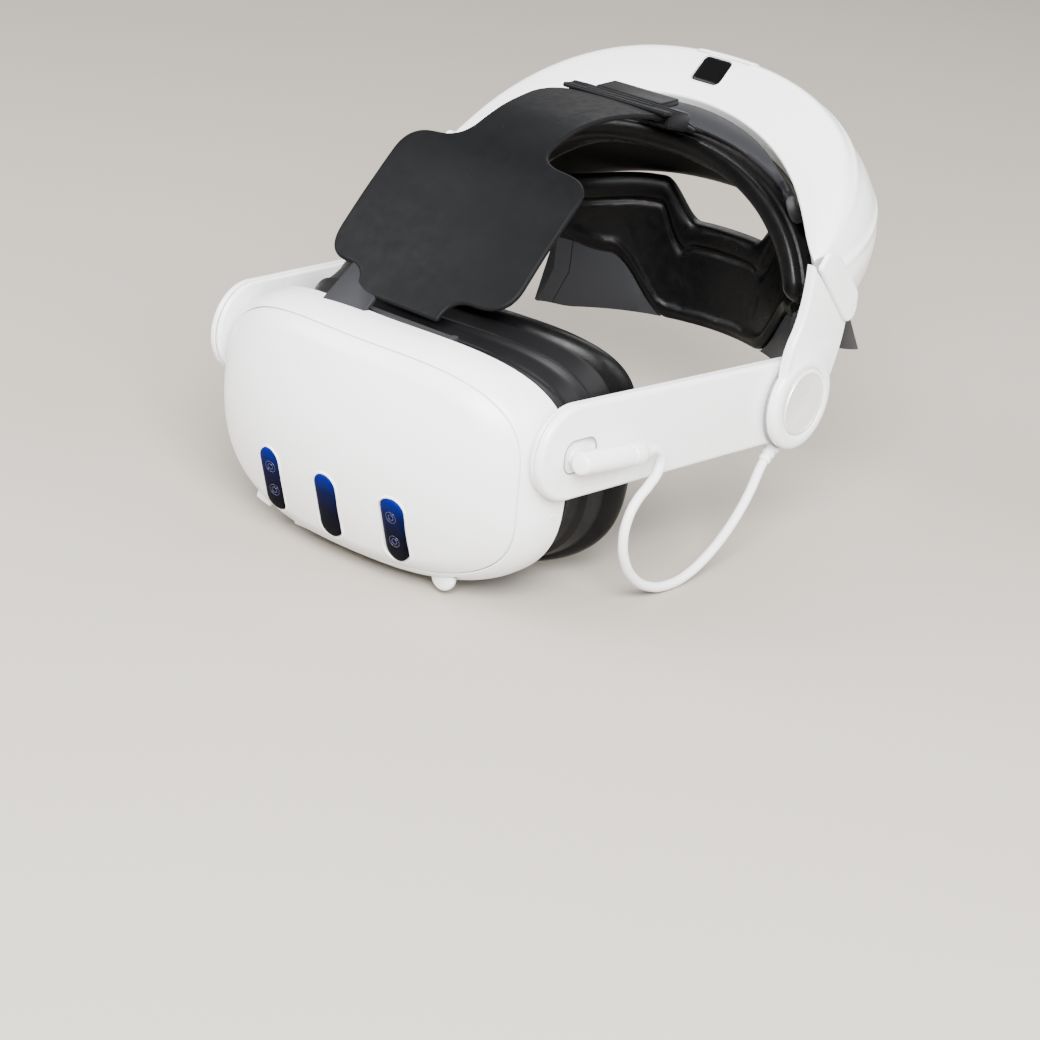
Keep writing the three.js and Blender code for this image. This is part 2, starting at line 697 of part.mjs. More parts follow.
function haloBody(inset, from, to, stations) {
  return loft(Array.from({ length: stations }, (_, i) =>
    haloSection(from + ((to - from) * i) / (stations - 1), inset)));
}

// A block that covers everything from one height off the crescent's plane to another.
function archSlab(low, high) {
  const size = 400;
  return box(size, size, high - low, 0, 0, (low + high) / 2).rotateX(ARCH_TILT);
}

const SQUARE_UP = 110.3; // the status button's place up the crescent's plane
const LATCH_UP = 124;

function statusPrism(grow, low, high) {
  const shape = roundedRectangle(7.2 + grow, 6.8 + grow, 2.4 + grow);
  return new THREE.ExtrudeGeometry(shape, { depth: high - low, bevelEnabled: false, curveSegments: 4 })
    .translate(0, SQUARE_UP, low)
    .rotateX(ARCH_TILT);
}

function latchBlock(grow, low, high) {
  return box(29 + 2 * grow, 8.4 + 2 * grow, high - low, 0, LATCH_UP, (low + high) / 2).rotateX(ARCH_TILT);
}

function haloCover() {
  const cap = common(haloBody(0, 0, 1, 25), archSlab(ARCH_PLANE - COVER_DEPTH, ARCH_PLANE + 9));
  const statusHole = statusPrism(GAP, ARCH_PLANE - 12, ARCH_PLANE + 4);
  const latchSlot = latchBlock(GAP, ARCH_PLANE - 3.3, ARCH_PLANE + 4);
  return cut(cap, statusHole, latchSlot, archCushion(CUSHION_CLEARANCE));
}

function batteryHousing() {
  const solid = common(haloBody(0, 0, 1, 25), archSlab(-60, ARCH_PLANE - COVER_DEPTH - GAP));
  return cut(solid, haloBody(2.6, 0.16, 0.84, 15), archCushion(CUSHION_CLEARANCE));
}

function batteryCell() {
  return rod('x', 7, -28, 28, 0, 0, 16).rotateZ(-0.3).translate(34, 67.6, 76.6);
}

function statusButton() {
  return statusPrism(0, ARCH_PLANE - 6, ARCH_PLANE + 0.2);
}

function batteryLatch() {
  return common(latchBlock(0, ARCH_PLANE - 3, ARCH_PLANE + 2), haloBody(-0.4, 0.3, 0.7, 13));
}

// The side band: from the drum up to the housing's slanted end.
function sideBand() {
  const shape = new THREE.Shape();
  shape.moveTo(-15, 8);
  shape.quadraticCurveTo(-17, 22, -11, 31);
  shape.quadraticCurveTo(-5.5, 42, -6.6, 60);
  shape.lineTo(24.6, 33.2);
  shape.quadraticCurveTo(24.5, 20, 17, 4);
  shape.closePath();
  const plate = extrudedAlongX(shape, DRUM_INNER_X, 3.9, 0.8, 6);
  const drum = turned([[0, DRUM_INNER_X], [DRUM_RADIUS, DRUM_INNER_X], [DRUM_RADIUS, DRUM_OUTER_X - 1.4],
    [DRUM_RADIUS - 1.4, DRUM_OUTER_X], [CAP_RADIUS + 1, DRUM_OUTER_X], [CAP_RADIUS + GAP, DRUM_OUTER_X - 1],
    [0, DRUM_OUTER_X - 1]], 0, 0, 32).rotateZ(-Math.PI / 2);
  return cut(join(plate, drum), rod('x', PIN_RADIUS + GAP, 90, 99.9, 0, 0, 16));
}

function hingeCap() {
  const profile = [[0, CAP_INNER_X], [CAP_RADIUS, CAP_INNER_X], [CAP_RADIUS, CAP_OUTER_X - 0.3],
    [CAP_RADIUS - 0.6, CAP_OUTER_X], [0, CAP_OUTER_X]];
  return turned(profile, 0, 0, 24).rotateZ(-Math.PI / 2);
}

// ---------- cushions and frames that follow the head ----------
const CUSHION_PLANE = THREE.MathUtils.degToRad(74);

// A point of the cushion's arch: angle round it, radius growth, and distance across its width.
function onCushionArch(angle, grow, across) {
  const [x, rise] = superellipse(89.5 + grow, 87 + grow, 2.4, angle);
  return [
    x,
    rise * Math.cos(CUSHION_PLANE) - across * Math.sin(CUSHION_PLANE),
    rise * Math.sin(CUSHION_PLANE) + across * Math.cos(CUSHION_PLANE),
  ];
}

function archSweep(from, to, stations, section) {
  return loft(Array.from({ length: stations }, (_, i) => {
    const angle = from + ((to - from) * i) / (stations - 1);
    return section.map(([grow, across]) => onCushionArch(angle, grow, across));
  }));
}

const CUSHION_START = THREE.MathUtils.degToRad(21.7);
const CUSHION_HALF_THICKNESS = 5.7;
const CUSHION_HALF_WIDTH = 11;

function archCushion(margin = 0) {
  const halfThickness = CUSHION_HALF_THICKNESS + margin;
  const halfWidth = CUSHION_HALF_WIDTH + margin;
  const section = Array.from({ length: 8 }, (_, i) =>
    superellipse(halfThickness, halfWidth, 3, (2 * Math.PI * (i + 0.5)) / 8));
  return archSweep(
    CUSHION_START,
    Math.PI - CUSHION_START,
    21,
    section.map(([grow, across]) => [grow, across - 3]),
  );
}

// The liner spans from the cushion's top to the crescent's inner edge.
function archLiner() {
  const stations = 21;
  const half = 1.1;
  const edges = Array.from({ length: stations }, (_, i) => {
    const share = 0.17 + (0.66 * i) / (stations - 1);
    const [x, up] = crescentInner(share);
    const near = onCushionArch(spread(CUSHION_START, share), CUSHION_HALF_THICKNESS + 1.8, 1);
    return [near, onArch(x * 0.98, up - 2.4, ARCH_PLANE - 2)].map((p) => new THREE.Vector3(...p));
  });
  return loft(edges.map(([near, far], i) => {
    const before = edges[Math.max(i - 1, 0)][0];
    const after = edges[Math.min(i + 1, stations - 1)][0];
    const along = after.clone().sub(before);
    const normal = far.clone().sub(near).cross(along).normalize().multiplyScalar(half);
    return [
      near.clone().sub(normal), near.clone().add(normal),
      far.clone().add(normal), far.clone().sub(normal),
    ].map((p) => p.toArray());
  }));
}

// A wall round the back of the head: at each angle from the back, a section given by a function.
function napeSweep(limit, stations, section) {
  return loft(Array.from({ length: stations }, (_, i) => {
    const angle = -limit + (2 * limit * i) / (stations - 1);
    return section(angle).map(([grow, z]) => [
      (HEAD_WIDTH + grow) * Math.sin(angle),
      (HEAD_REACH + grow) * Math.cos(angle),
      z,
    ]);
  }));
}

function smooth(value, from, to) {
  return THREE.MathUtils.smoothstep(Math.abs(value), from, to);
}

function napePad() {
  return napeSweep(1.08, 29, (angle) => {
    const top = 34 + 17.8 * smooth(angle, 0.22, 0.47) - 3 * smooth(angle, 0.55, 1);
    const bottom = -14 + 16 * smooth(angle, 0.5, 1.4);
    return [[0, bottom + 3], [3, bottom], [7, bottom], [9.5, bottom + 4], [9.5, top - 4], [7, top],
      [3, top], [0, top - 3]];
  });
}

function napeFrame() {
  const band = napeSweep(1.3, 25, (angle) => {
    const top = 15 + 14 * smooth(angle, 0.6, 1.25);
    const bottom = -10 + 31 * smooth(angle, 0.5, 1.25);
    const bow = 10 * smooth(angle, 0.2, 0.6) * (1 - smooth(angle, 0.95, 1.3));
    return [[11.6 + bow, bottom], [14.6 + bow, bottom], [14.6 + bow, top], [11.6 + bow, top]];
  });
  const lug = (side) => box(16.4, 12, 9, side * 87.6, 20.5, 26);
  return cut(join(band, lug(1), lug(-1)), rod('y', 4 + GAP, 80, 100, 0, 2, 16));
}

function fitDial() {
  const knob = turned([[0, 93.4], [14, 93.4], [16, 95], [16, 99.5], [14, 101.5], [0, 101.5]], 0, 2, 24);
  const ridges = Array.from({ length: 12 }, (_, i) =>
    rod('y', 1.4, 92, 103, 16.6, 0, 6).rotateY((2 * Math.PI * i) / 12).translate(0, 0, 2));
  return join(cut(knob, ...ridges), rod('y', 4, 88.6, 94, 0, 2, 16));
}

// ---------- over-head panel ----------
const STRAP_PATH = new THREE.CatmullRomCurve3([
  new THREE.Vector3(0, -145.5, 37.2), new THREE.Vector3(0, -133.7, 50), new THREE.Vector3(0, -114, 71.5),
  new THREE.Vector3(0, -93, 91), new THREE.Vector3(0, -71, 101.5), new THREE.Vector3(0, -52, 105.1),
  new THREE.Vector3(0, -38, 105.4), new THREE.Vector3(0, -24, 103.7), new THREE.Vector3(0, -10, 100.4),
  new THREE.Vector3(0, 2, 96.2), new THREE.Vector3(0, 8, 93.6),
]);
const STEM_HALF_WIDTH = 22;
const LOBE_HALF_WIDTH = 48;
const BUCKLE_TILT = -0.255;
const BUCKLE_Y = -9.5;
const BUCKLE_Z = 101.3;
const UPPER_HALF_WIDTH = 24;

function panelHalfWidth(distance) {
  const opening = THREE.MathUtils.smoothstep(distance, 6, 21);
  const closing = THREE.MathUtils.smoothstep(distance, 76, 90);
  return STEM_HALF_WIDTH + (LOBE_HALF_WIDTH - STEM_HALF_WIDTH) * opening
    - (LOBE_HALF_WIDTH - UPPER_HALF_WIDTH) * closing;
}

function topPanel() {
  const length = STRAP_PATH.getLength();
  const stations = 34;
  const across = [-1, -0.5, 0, 0.5, 1];
  return loft(Array.from({ length: stations }, (_, i) => {
    const share = i / (stations - 1);
    const centre = STRAP_PATH.getPointAt(share);
    const tangent = STRAP_PATH.getTangentAt(share);
    const width = panelHalfWidth(share * length);
    const point = (u, height) => {
      const sag = (u * width) ** 2 / 700;
      const lift = height - sag;
      return [u * width, centre.y - tangent.z * lift, centre.z + tangent.y * lift];
    };
    return [
      ...across.map((u) => point(u, 0)),
      ...across.toReversed().map((u) => point(u, STRAP_THICKNESS)),
    ];
  }));
}

function strapBracket() {
  const bar = box(62, 4.4, 3.6, 0, 34.9, 48.2);
  const ends = [-1, 1].map((side) => box(3, 4.4, 7, side * 29.5, 34.9, 49.5));
  return join(bar, ...ends);
}

// The ladder buckle: a frame round the strap's end, with a blade and a rib on top.
function strapBuckle() {
  const frame = box(54, 14, 7.4, 0, 0, 0);
  const slot = box(49.4, 40, 4.8, 0, 0, -0.2);
  const blade = box(50, 5, 1.4, 0, -8.4, 3);
  const rib = box(40, 3, 1, 0, 2.5, 3.9);
  return join(cut(frame, slot), blade, rib).rotateX(BUCKLE_TILT).translate(0, BUCKLE_Y, BUCKLE_Z);
}

function buildCradle() {
  addPair(cradle, 'side_band', sideBand(), WHITE);
  addPair(cradle, 'hinge_cap', hingeCap(), BRUSHED);
  add(cradle, 'halo_cover', haloCover(), WHITE);
  add(cradle, 'battery_housing', batteryHousing(), WHITE);
  addPair(cradle, 'battery_cell', batteryCell(), CELL);
  add(cradle, 'status_button', statusButton(), BLACK);
  add(cradle, 'battery_latch', batteryLatch(), WHITE);
  add(cradle, 'arch_liner', archLiner(), DARK_GREY);
  add(cradle, 'arch_cushion', archCushion(), LEATHER);
  add(cradle, 'nape_pad', napePad(), LEATHER);
  add(cradle, 'nape_frame', napeFrame(), DARK_GREY);
  add(cradle, 'fit_dial', fitDial(), DARK_GREY);
  add(cradle, 'strap_buckle', strapBuckle(), DARK_GREY);
}

buildVisor();
buildFace();
buildArms();
buildCradle();
add(visor, 'strap_bracket', strapBracket(), DARK_GREY);
add(arms, 'top_panel', topPanel(), CHARCOAL);

export default model;
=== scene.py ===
"""A VR headset with a halo battery strap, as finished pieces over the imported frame.

Lengths below are in millimetres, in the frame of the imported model: the origin is the middle of the
line between the two hinge drums, +X is the wearer's left, +Y the back of the head and +Z up.
"""
import json
import math

import bmesh
import bpy
from mathutils import Matrix, Vector


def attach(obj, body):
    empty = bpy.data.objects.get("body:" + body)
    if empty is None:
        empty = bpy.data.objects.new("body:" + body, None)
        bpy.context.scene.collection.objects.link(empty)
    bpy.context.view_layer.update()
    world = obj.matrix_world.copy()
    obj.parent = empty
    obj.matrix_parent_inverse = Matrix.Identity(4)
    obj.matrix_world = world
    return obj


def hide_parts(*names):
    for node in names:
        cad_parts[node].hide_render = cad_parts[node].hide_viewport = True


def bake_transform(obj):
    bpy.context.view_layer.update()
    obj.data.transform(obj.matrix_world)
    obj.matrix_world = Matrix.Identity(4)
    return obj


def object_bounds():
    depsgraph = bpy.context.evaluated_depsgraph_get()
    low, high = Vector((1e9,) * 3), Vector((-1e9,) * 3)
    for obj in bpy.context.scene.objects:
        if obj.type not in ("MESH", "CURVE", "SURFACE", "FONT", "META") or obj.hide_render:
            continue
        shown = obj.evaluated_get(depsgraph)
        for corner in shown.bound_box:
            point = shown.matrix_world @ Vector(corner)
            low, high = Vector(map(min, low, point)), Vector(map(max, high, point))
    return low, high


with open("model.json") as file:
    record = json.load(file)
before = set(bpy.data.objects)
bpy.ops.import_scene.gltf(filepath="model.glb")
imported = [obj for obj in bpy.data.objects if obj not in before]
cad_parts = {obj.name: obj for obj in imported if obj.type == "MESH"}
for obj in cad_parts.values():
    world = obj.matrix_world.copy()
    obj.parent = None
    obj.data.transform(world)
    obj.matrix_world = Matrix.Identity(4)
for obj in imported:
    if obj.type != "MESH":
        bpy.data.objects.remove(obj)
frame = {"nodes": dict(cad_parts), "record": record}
CAD_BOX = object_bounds()

# ---------- driving dimensions ----------
MM = 0.001
GAP = 0.3
TURN = 2 * math.pi
VISOR_Y, VISOR_Z = -179.6, -14.5
VISOR_HALF_WIDTH, VISOR_HALF_HEIGHT = 82, 48.5
VISOR_CORNER = 3.2
VISOR_FLAT = 47.2
FACE_RADIUS_X, FACE_RADIUS_Z, FACE_CROWN_Z = 188, 88, 5.5
SIDE_WRAP, SIDE_WRAP_X = 5.2, 76.6
PLATE_INSET, PLATE_THICKNESS, PLATE_EDGE_DROP = 4.95, 2.4, 2.5
SHELL_DEPTH, SHELL_REAR_RADIUS, SHELL_WALL = 29.6, 177, 2.6
PILL_X, PILL_Z = 32, -25
PILL_HALF_WIDTH, PILL_HALF_HEIGHT = 5.7, 15
EYE_X, LENS_RADIUS = 32, 22
WHEEL_X, WHEEL_Z = 45, -44.2
POWER_X, ROCKER_X, BUTTON_Y = -50, -24, 25.2
ARM_FRONT_Y, ARM_FRONT_Z, ARM_FRONT_RADIUS = -137.1, 3.2, 19.4
ARM_REAR_RADIUS = 18
ARM_INNER_X, ARM_OUTER_X, COVER_SPLIT = 82.5, 88.3, 1.9
ARM_SPLAY = 0.0505
PORT_Y, PORT_Z = -134.1, 2
DRUM_RADIUS, DRUM_INNER_X, DRUM_OUTER_X = 20.5, 96.3, 101
ARCH_TILT = math.radians(42.6)
ARCH_PLANE = 47.7
COVER_DEPTH = 7
HOUSING_HALF_WIDTH, HOUSING_REACH, HOUSING_CORNER = 103, 95, 2.4
SQUARE_UP, LATCH_UP = 110.3, 124
CUSHION_PLANE = math.radians(74)
CUSHION_START = math.radians(21.7)
CUSHION_ARCH_HALF_WIDTH, CUSHION_ARCH_RISE, CUSHION_ARCH_CORNER = 89.5, 87, 2.4
HEAD_HALF_WIDTH, HEAD_REACH = 70, 78
NAPE_END_ANGLE = 1.08
STRAP_THICKNESS = 2.4
BUCKLE_Y, BUCKLE_Z, BUCKLE_TILT = -9.5, 101.3, -0.255
LEAD_DIAMETER = 4


# ---------- small maths ----------
def smoothstep(value, low, high):
    share = min(max((value - low) / (high - low), 0), 1)
    return share * share * (3 - 2 * share)


def bump_at(value, middle, width):
    """A smooth bump of height 1."""
    return math.exp(-(((value - middle) / width) ** 2))


def superellipse(half_width, half_height, exponent, angle):
    power = 2 / exponent
    c, s = math.cos(angle), math.sin(angle)
    return (
        half_width * math.copysign(abs(c) ** power, c),
        half_height * math.copysign(abs(s) ** power, s),
    )


def spaced(low, high, count):
    return [low + (high - low) * i / (count - 1) for i in range(count)]


def circle(count):
    """Angles at equal steps once round."""
    return [TURN * i / count for i in range(count)]


def quadratic(start, middle, end, t):
    return (1 - t) ** 2 * start + 2 * t * (1 - t) * middle + t * t * end


def catmull(points, per_span):
    """A smooth run of points through the given ones."""
    ends = [points[0] * 2 - points[1], *points, points[-1] * 2 - points[-2]]
    run = []
    for a, b, c, d in zip(ends, ends[1:], ends[2:], ends[3:]):
        for i in range(per_span):
            t = i / per_span
            run.append(
                0.5 * (2 * b + (c - a) * t + (2 * a - 5 * b + 4 * c - d) * t**2
                       + (3 * b - a - 3 * c + d) * t**3))
    run.append(points[-1].copy())
    return run


def travelled(run):
    """The length of a run of points up to each of them."""
    lengths = [0.0]
    for a, b in zip(run, run[1:]):
        lengths.append(lengths[-1] + (b - a).length)
    return lengths


def along(run, count):
    """Points at equal steps along a run of points."""
    lengths = travelled(run)
    found, index = [], 0
    for target in spaced(0, lengths[-1], count):
        while index < len(run) - 2 and lengths[index + 1] < target:
            index += 1
        span = lengths[index + 1] - lengths[index] or 1
        found.append(run[index].lerp(run[index + 1], (target - lengths[index]) / span))
    return found, lengths[-1]


# ---------- meshes ----------
def loft(rings, joined=False):
    """Quads over a list of equal rings, closed at the ends unless the last meets the first."""
    count = len(rings[0])
    points = [tuple(p) for ring in rings for p in ring]
    faces = []
    bands = len(rings) if joined else len(rings) - 1
    for band in range(bands):
        here, there = band * count, ((band + 1) % len(rings)) * count
        for i in range(count):
            j = (i + 1) % count
            faces.append((here + i, here + j, there + j, there + i))
    if not joined:
        faces.append(tuple(range(count)))
        last = (len(rings) - 1) * count
        faces.append(tuple(last + i for i in range(count)))
    return points, faces


def new_object(name, points, faces):
    mesh = bpy.data.meshes.new(name)
    mesh.from_pydata([[c * MM for c in p] for p in points], [], faces)
    work = bmesh.new()
    work.from_mesh(mesh)
    bmesh.ops.recalc_face_normals(work, faces=work.faces)
    work.to_mesh(mesh)
    work.free()
    obj = bpy.data.objects.new(name, mesh)
    bpy.context.scene.collection.objects.link(obj)
    return obj


def apply_modifiers(obj):
    graph = bpy.context.evaluated_depsgraph_get()
    mesh = bpy.data.meshes.new_from_object(obj.evaluated_get(graph))
    obj.modifiers.clear()
    old = obj.data
    obj.data = mesh
    bpy.data.meshes.remove(old)


def combine(obj, other, operation):
    """Cuts other out of obj, or joins it on, and removes other."""
    modifier = obj.modifiers.new("Combine", "BOOLEAN")
    modifier.operation = operation
    modifier.solver = "EXACT"
    modifier.object = other
    apply_modifiers(obj)
    bpy.data.objects.remove(other)
    return obj


def cut(obj, *tools):
    for tool in tools:
        combine(obj, tool, "DIFFERENCE")
    return obj


def join(obj, *others):
    for other in others:
        combine(obj, other, "UNION")
    return obj


def bevel(obj, width, segments=3, angle=40):
    modifier = obj.modifiers.new("Bevel", "BEVEL")
    modifier.width = width * MM
    modifier.segments = segments
    modifier.limit_method = "ANGLE"
    modifier.angle_limit = math.radians(angle)
    modifier.harden_normals = False
    apply_modifiers(obj)
    return obj


def moved(obj, matrix):
    obj.data.transform(matrix)
    return obj


def settle(obj, finish, body, *replaced, slot=None, sharp=35):
    """Gives a piece its finish, its body and the CAD nodes that it stands for."""
    obj.data.shade_smooth()
    if sharp:
        obj.data.set_sharp_from_angle(angle=math.radians(sharp))
    obj.data.materials.clear()
    obj.data.materials.append(FINISHES[finish])
    if body:
        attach(obj, body)
    if replaced:
        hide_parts(*replaced)
    return obj


def duplicate(obj, name):
    copy = obj.copy()
    copy.data = obj.data.copy()
    copy.name = name
    bpy.context.scene.collection.objects.link(copy)
    return copy


def mirrored(obj, name):
    copy = duplicate(obj, name)
    copy.data.transform(Matrix.Scale(-1, 4, (1, 0, 0)))
    copy.data.flip_normals()
    return copy


def settle_pair(left, right, finish, body, node=None, slot=None):
    """Settles a wearer's-left piece and its mirror image, each for its own side's CAD node."""
    for side, piece in (("left", left), ("right", right)):
        settle(piece, finish, body, *([f"{node}_{side}"] if node else []), slot=slot)


BOX_FACES = [(0, 1, 3, 2), (4, 6, 7, 5), (0, 4, 5, 1), (2, 3, 7, 6), (0, 2, 6, 4), (1, 5, 7, 3)]


def block(name, size, centre, round_by=0.6, segments=3):
    x, y, z = (s / 2 for s in size)
    corners = [(sx * x, sy * y, sz * z) for sx in (-1, 1) for sy in (-1, 1) for sz in (-1, 1)]
    points = [tuple(a + b for a, b in zip(corner, centre)) for corner in corners]
    obj = new_object(name, points, BOX_FACES)
    return bevel(obj, round_by, segments) if round_by else obj


AXES = {
    "x": lambda r, a, t: (t, r * math.cos(a), r * math.sin(a)),
    "y": lambda r, a, t: (r * math.cos(a), t, r * math.sin(a)),
    "z": lambda r, a, t: (r * math.cos(a), r * math.sin(a), t),
}


def turned(name, axis, profile, centre=(0, 0, 0), sides=64, joined=False):
    """A turned piece from [radius, place along the axis] points."""
    rings = [
        [Vector(AXES[axis](r, angle, t)) + Vector(centre) for angle in circle(sides)]
        for r, t in profile
    ]
    return new_object(name, *loft(rings, joined))


def rounded_rectangle(half_width, half_height, radius, per_corner=10):
    points = []
    for quarter, (sx, sy) in enumerate(((1, 1), (-1, 1), (-1, -1), (1, -1))):
        for i in range(per_corner + 1):
            angle = math.pi / 2 * (quarter + i / per_corner)
            points.append((
                sx * (half_width - radius) + radius * math.cos(angle),
                sy * (half_height - radius) + radius * math.sin(angle),
            ))
    return points


def inset_loop(loop, distance):
    """Moves a closed counter-clockwise loop of 2-D points inwards."""
    moved_points = []
    for i, (u, v) in enumerate(loop):
        before, after = loop[i - 1], loop[(i + 1) % len(loop)]
        du, dv = after[0] - before[0], after[1] - before[1]
        size = math.hypot(du, dv) or 1
        moved_points.append((u - dv / size * distance, v + du / size * distance))
    return moved_points


def knurled(name, profile, centre, teeth, depth, toothed_from, sides):
    """A piece turned about Y, with rounded teeth cut where its radius is past toothed_from."""
    rings = []
    for radius, y in profile:
        ring = []
        for angle in circle(sides):
            tooth = depth * (1 - math.cos(teeth * angle)) / 2 if radius > toothed_from else 0
            r = radius - tooth
            ring.append((centre[0] + r * math.cos(angle), centre[1] + y, centre[2] + r * math.sin(angle)))
        rings.append(ring)
    return new_object(name, *loft(rings))


def rounded_profile(low, high, radius_low, radius_high, steps=5):
    """[inset, place] points of a slab's edge with rounded corners."""
    turns = [math.pi / 2 * i / steps for i in range(steps + 1)]
    near = [(radius_low * (1 - math.sin(a)), low + radius_low * (1 - math.cos(a))) for a in turns]
    far = [(radius_high * (1 - math.cos(a)), high - radius_high * (1 - math.sin(a))) for a in turns]
    return near + far


def slab_x(name, loop, low, high, radius_low, radius_high):
    """A slab across X with rounded edges, from a counter-clockwise loop in (y, z)."""
    rings = [
        [(x, y, z) for y, z in inset_loop(loop, inset)]
        for inset, x in rounded_profile(low, high, radius_low, radius_high)
    ]
    return new_object(name, *loft(rings))


def tube(name, centres, radius, sides=10, closed=False):
    """A round bead along a run of points."""
    count = len(centres)
    rings = []
    normal = None
    for i, centre in enumerate(centres):
        before = centres[i - 1] if closed or i else centre
        after = centres[(i + 1) % count] if closed or i < count - 1 else centre
        tangent = (after - before).normalized()
        if normal is None:
            normal = tangent.orthogonal()
        normal = (normal - tangent * normal.dot(tangent)).normalized()
        binormal = tangent.cross(normal)
        rings.append([
            centre + radius * (normal * math.cos(a) + binormal * math.sin(a))
            for a in circle(sides)
        ])
    return new_object(name, *loft(rings, joined=closed))


# ---------- finishes ----------
class Look:
    """A node material under construction: one Principled shader and the nodes that feed it."""

    def __init__(self, name, colour, roughness, **sockets):
        self.material = bpy.data.materials.new(name)
        self.material.use_nodes = True
        self.tree = self.material.node_tree
        self.shader = self.tree.nodes["Principled BSDF"]
        self.colour = colour
        self.shader.inputs["Base Color"].default_value = (*colour, 1)
        self.shader.inputs["Roughness"].default_value = roughness
        self.roughness = roughness
        for socket, value in sockets.items():
            self.shader.inputs[socket.replace("_", " ")].default_value = value
        self.place = self.tree.nodes.new("ShaderNodeTexCoord").outputs["Object"]
        self.normal = None

    def noise(self, scale, detail=3, stretch=None):
        made = self.tree.nodes.new("ShaderNodeTexNoise")
        made.inputs["Scale"].default_value = scale
        made.inputs["Detail"].default_value = detail
        self.tree.links.new(self.stretched(stretch), made.inputs["Vector"])
        return made.outputs["Fac"]

    def cells(self, scale, feature="F1"):
        made = self.tree.nodes.new("ShaderNodeTexVoronoi")
        made.feature = feature
        made.inputs["Scale"].default_value = scale
        self.tree.links.new(self.place, made.inputs["Vector"])
        return made.outputs["Distance"]

    def stretched(self, stretch):
        if stretch is None:
            return self.place
        made = self.tree.nodes.new("ShaderNodeMapping")
        made.inputs["Scale"].default_value = stretch
        self.tree.links.new(self.place, made.inputs["Vector"])
        return made.outputs["Vector"]

    def ramp(self, factor, low, high, from_low=0.3, from_high=0.7):
        made = self.tree.nodes.new("ShaderNodeMapRange")
        for socket, value in (("From Min", from_low), ("From Max", from_high), ("To Min", low),
                              ("To Max", high)):
            made.inputs[socket].default_value = value
        self.tree.links.new(factor, made.inputs["Value"])
        return made.outputs["Result"]

    def colours(self, factor, stops):
        made = self.tree.nodes.new("ShaderNodeValToRGB")
        band = made.color_ramp
        while len(band.elements) < len(stops):
            band.elements.new(0.5)
        for element, (place, colour) in zip(band.elements, stops):
            element.position = place
            element.color = (*colour, 1)
        self.tree.links.new(factor, made.inputs["Fac"])
        self.tree.links.new(made.outputs["Color"], self.shader.inputs["Base Color"])
        return self

    def mottle(self, scale, amount):
        """Slow, slight changes of colour over the surface."""
        darker = tuple(c * (1 - amount) for c in self.colour)
        lighter = tuple(min(c * (1 + amount), 1) for c in self.colour)
        return self.colours(self.noise(scale, 4), [(0.35, darker), (0.65, lighter)])

    def rough(self, factor, spread, from_low=0.3, from_high=0.7):
        result = self.ramp(factor, self.roughness - spread, self.roughness + spread, from_low, from_high)
        self.tree.links.new(result, self.shader.inputs["Roughness"])
        return self

    def bump(self, height, strength, depth):
        made = self.tree.nodes.new("ShaderNodeBump")
        made.inputs["Strength"].default_value = strength
        made.inputs["Distance"].default_value = depth * MM
        self.tree.links.new(height, made.inputs["Height"])
        if self.normal:
            self.tree.links.new(self.normal, made.inputs["Normal"])
        self.normal = made.outputs["Normal"]
        self.tree.links.new(self.normal, self.shader.inputs["Normal"])
        return self


def moulded(name, colour, roughness, grain, depth, **sockets):
    """Moulded plastic: a fine spark-eroded grain, slow polish changes and a trace of flow."""
    look = Look(name, colour, roughness, **sockets)
    look.mottle(9, 0.012)
    look.rough(look.noise(55, 5), 0.045)
    look.bump(look.noise(grain, 4), 0.25, depth)
    return look.material


def leather(name, colour, roughness, pebble, depth, **sockets):
    """Coated leather: pebbles between fine creases, with pores and soft changes of sheen."""
    look = Look(name, colour, roughness, **sockets)
    look.mottle(60, 0.08)
    look.rough(look.noise(240, 4), 0.07)
    look.bump(look.noise(70, 3), 0.05, 0.3)
    look.bump(look.ramp(look.cells(pebble, "DISTANCE_TO_EDGE"), 0, 1, 0.0, 0.22), 0.32, depth)
    look.bump(look.noise(pebble * 3.1, 2), 0.2, depth * 0.4)
    return look.material


def window_glass():
    look = Look("window_glass", (0.002, 0.004, 0.02), 0.12, Specular_IOR_Level=0.03)
    # The glass is black; the blue that grows towards the top of each window is a painted reflection, laid on
    # by height.
    split = look.tree.nodes.new("ShaderNodeSeparateXYZ")
    look.tree.links.new(look.place, split.inputs["Vector"])
    height = look.ramp(split.outputs["Z"], 0, 1, -0.0525, -0.0258)
    look.colours(height, [(0.0, (0.001, 0.001, 0.002)), (0.4, (0.0008, 0.001, 0.006)),
                          (0.72, (0.0006, 0.002, 0.028)), (1.0, (0.001, 0.006, 0.12))])
    look.rough(look.noise(500, 3), 0.02)
    return look.material


def brushed_cap():
    look = Look("brushed_cap", (0.93, 0.93, 0.94), 0.28, Metallic=0.55, Anisotropic=0.8, Coat_Weight=0.25,
                Coat_Roughness=0.15)
    tangent = look.tree.nodes.new("ShaderNodeTangent")
    tangent.direction_type = "RADIAL"
    tangent.axis = "X"
    look.tree.links.new(tangent.outputs["Tangent"], look.shader.inputs["Tangent"])
    rings = look.tree.nodes.new("ShaderNodeTexWave")
    rings.wave_type = "RINGS"
    rings.rings_direction = "X"
    rings.inputs["Scale"].default_value = 150
    rings.inputs["Distortion"].default_value = 0
    rings.inputs["Detail"].default_value = 3
    look.tree.links.new(look.place, rings.inputs["Vector"])
    look.mottle(70, 0.02)
    look.rough(rings.outputs["Fac"], 0.05, 0, 1)
    look.bump(rings.outputs["Fac"], 0.04, 0.02)
    return look.material


def ground_metal(name, colour, roughness, stretch):
    look = Look(name, colour, roughness, Metallic=1.0)
    look.mottle(120, 0.05)
    streaks = look.noise(900, 4, stretch)
    look.rough(streaks, 0.08)
    look.bump(streaks, 0.15, 0.02)
    return look.material


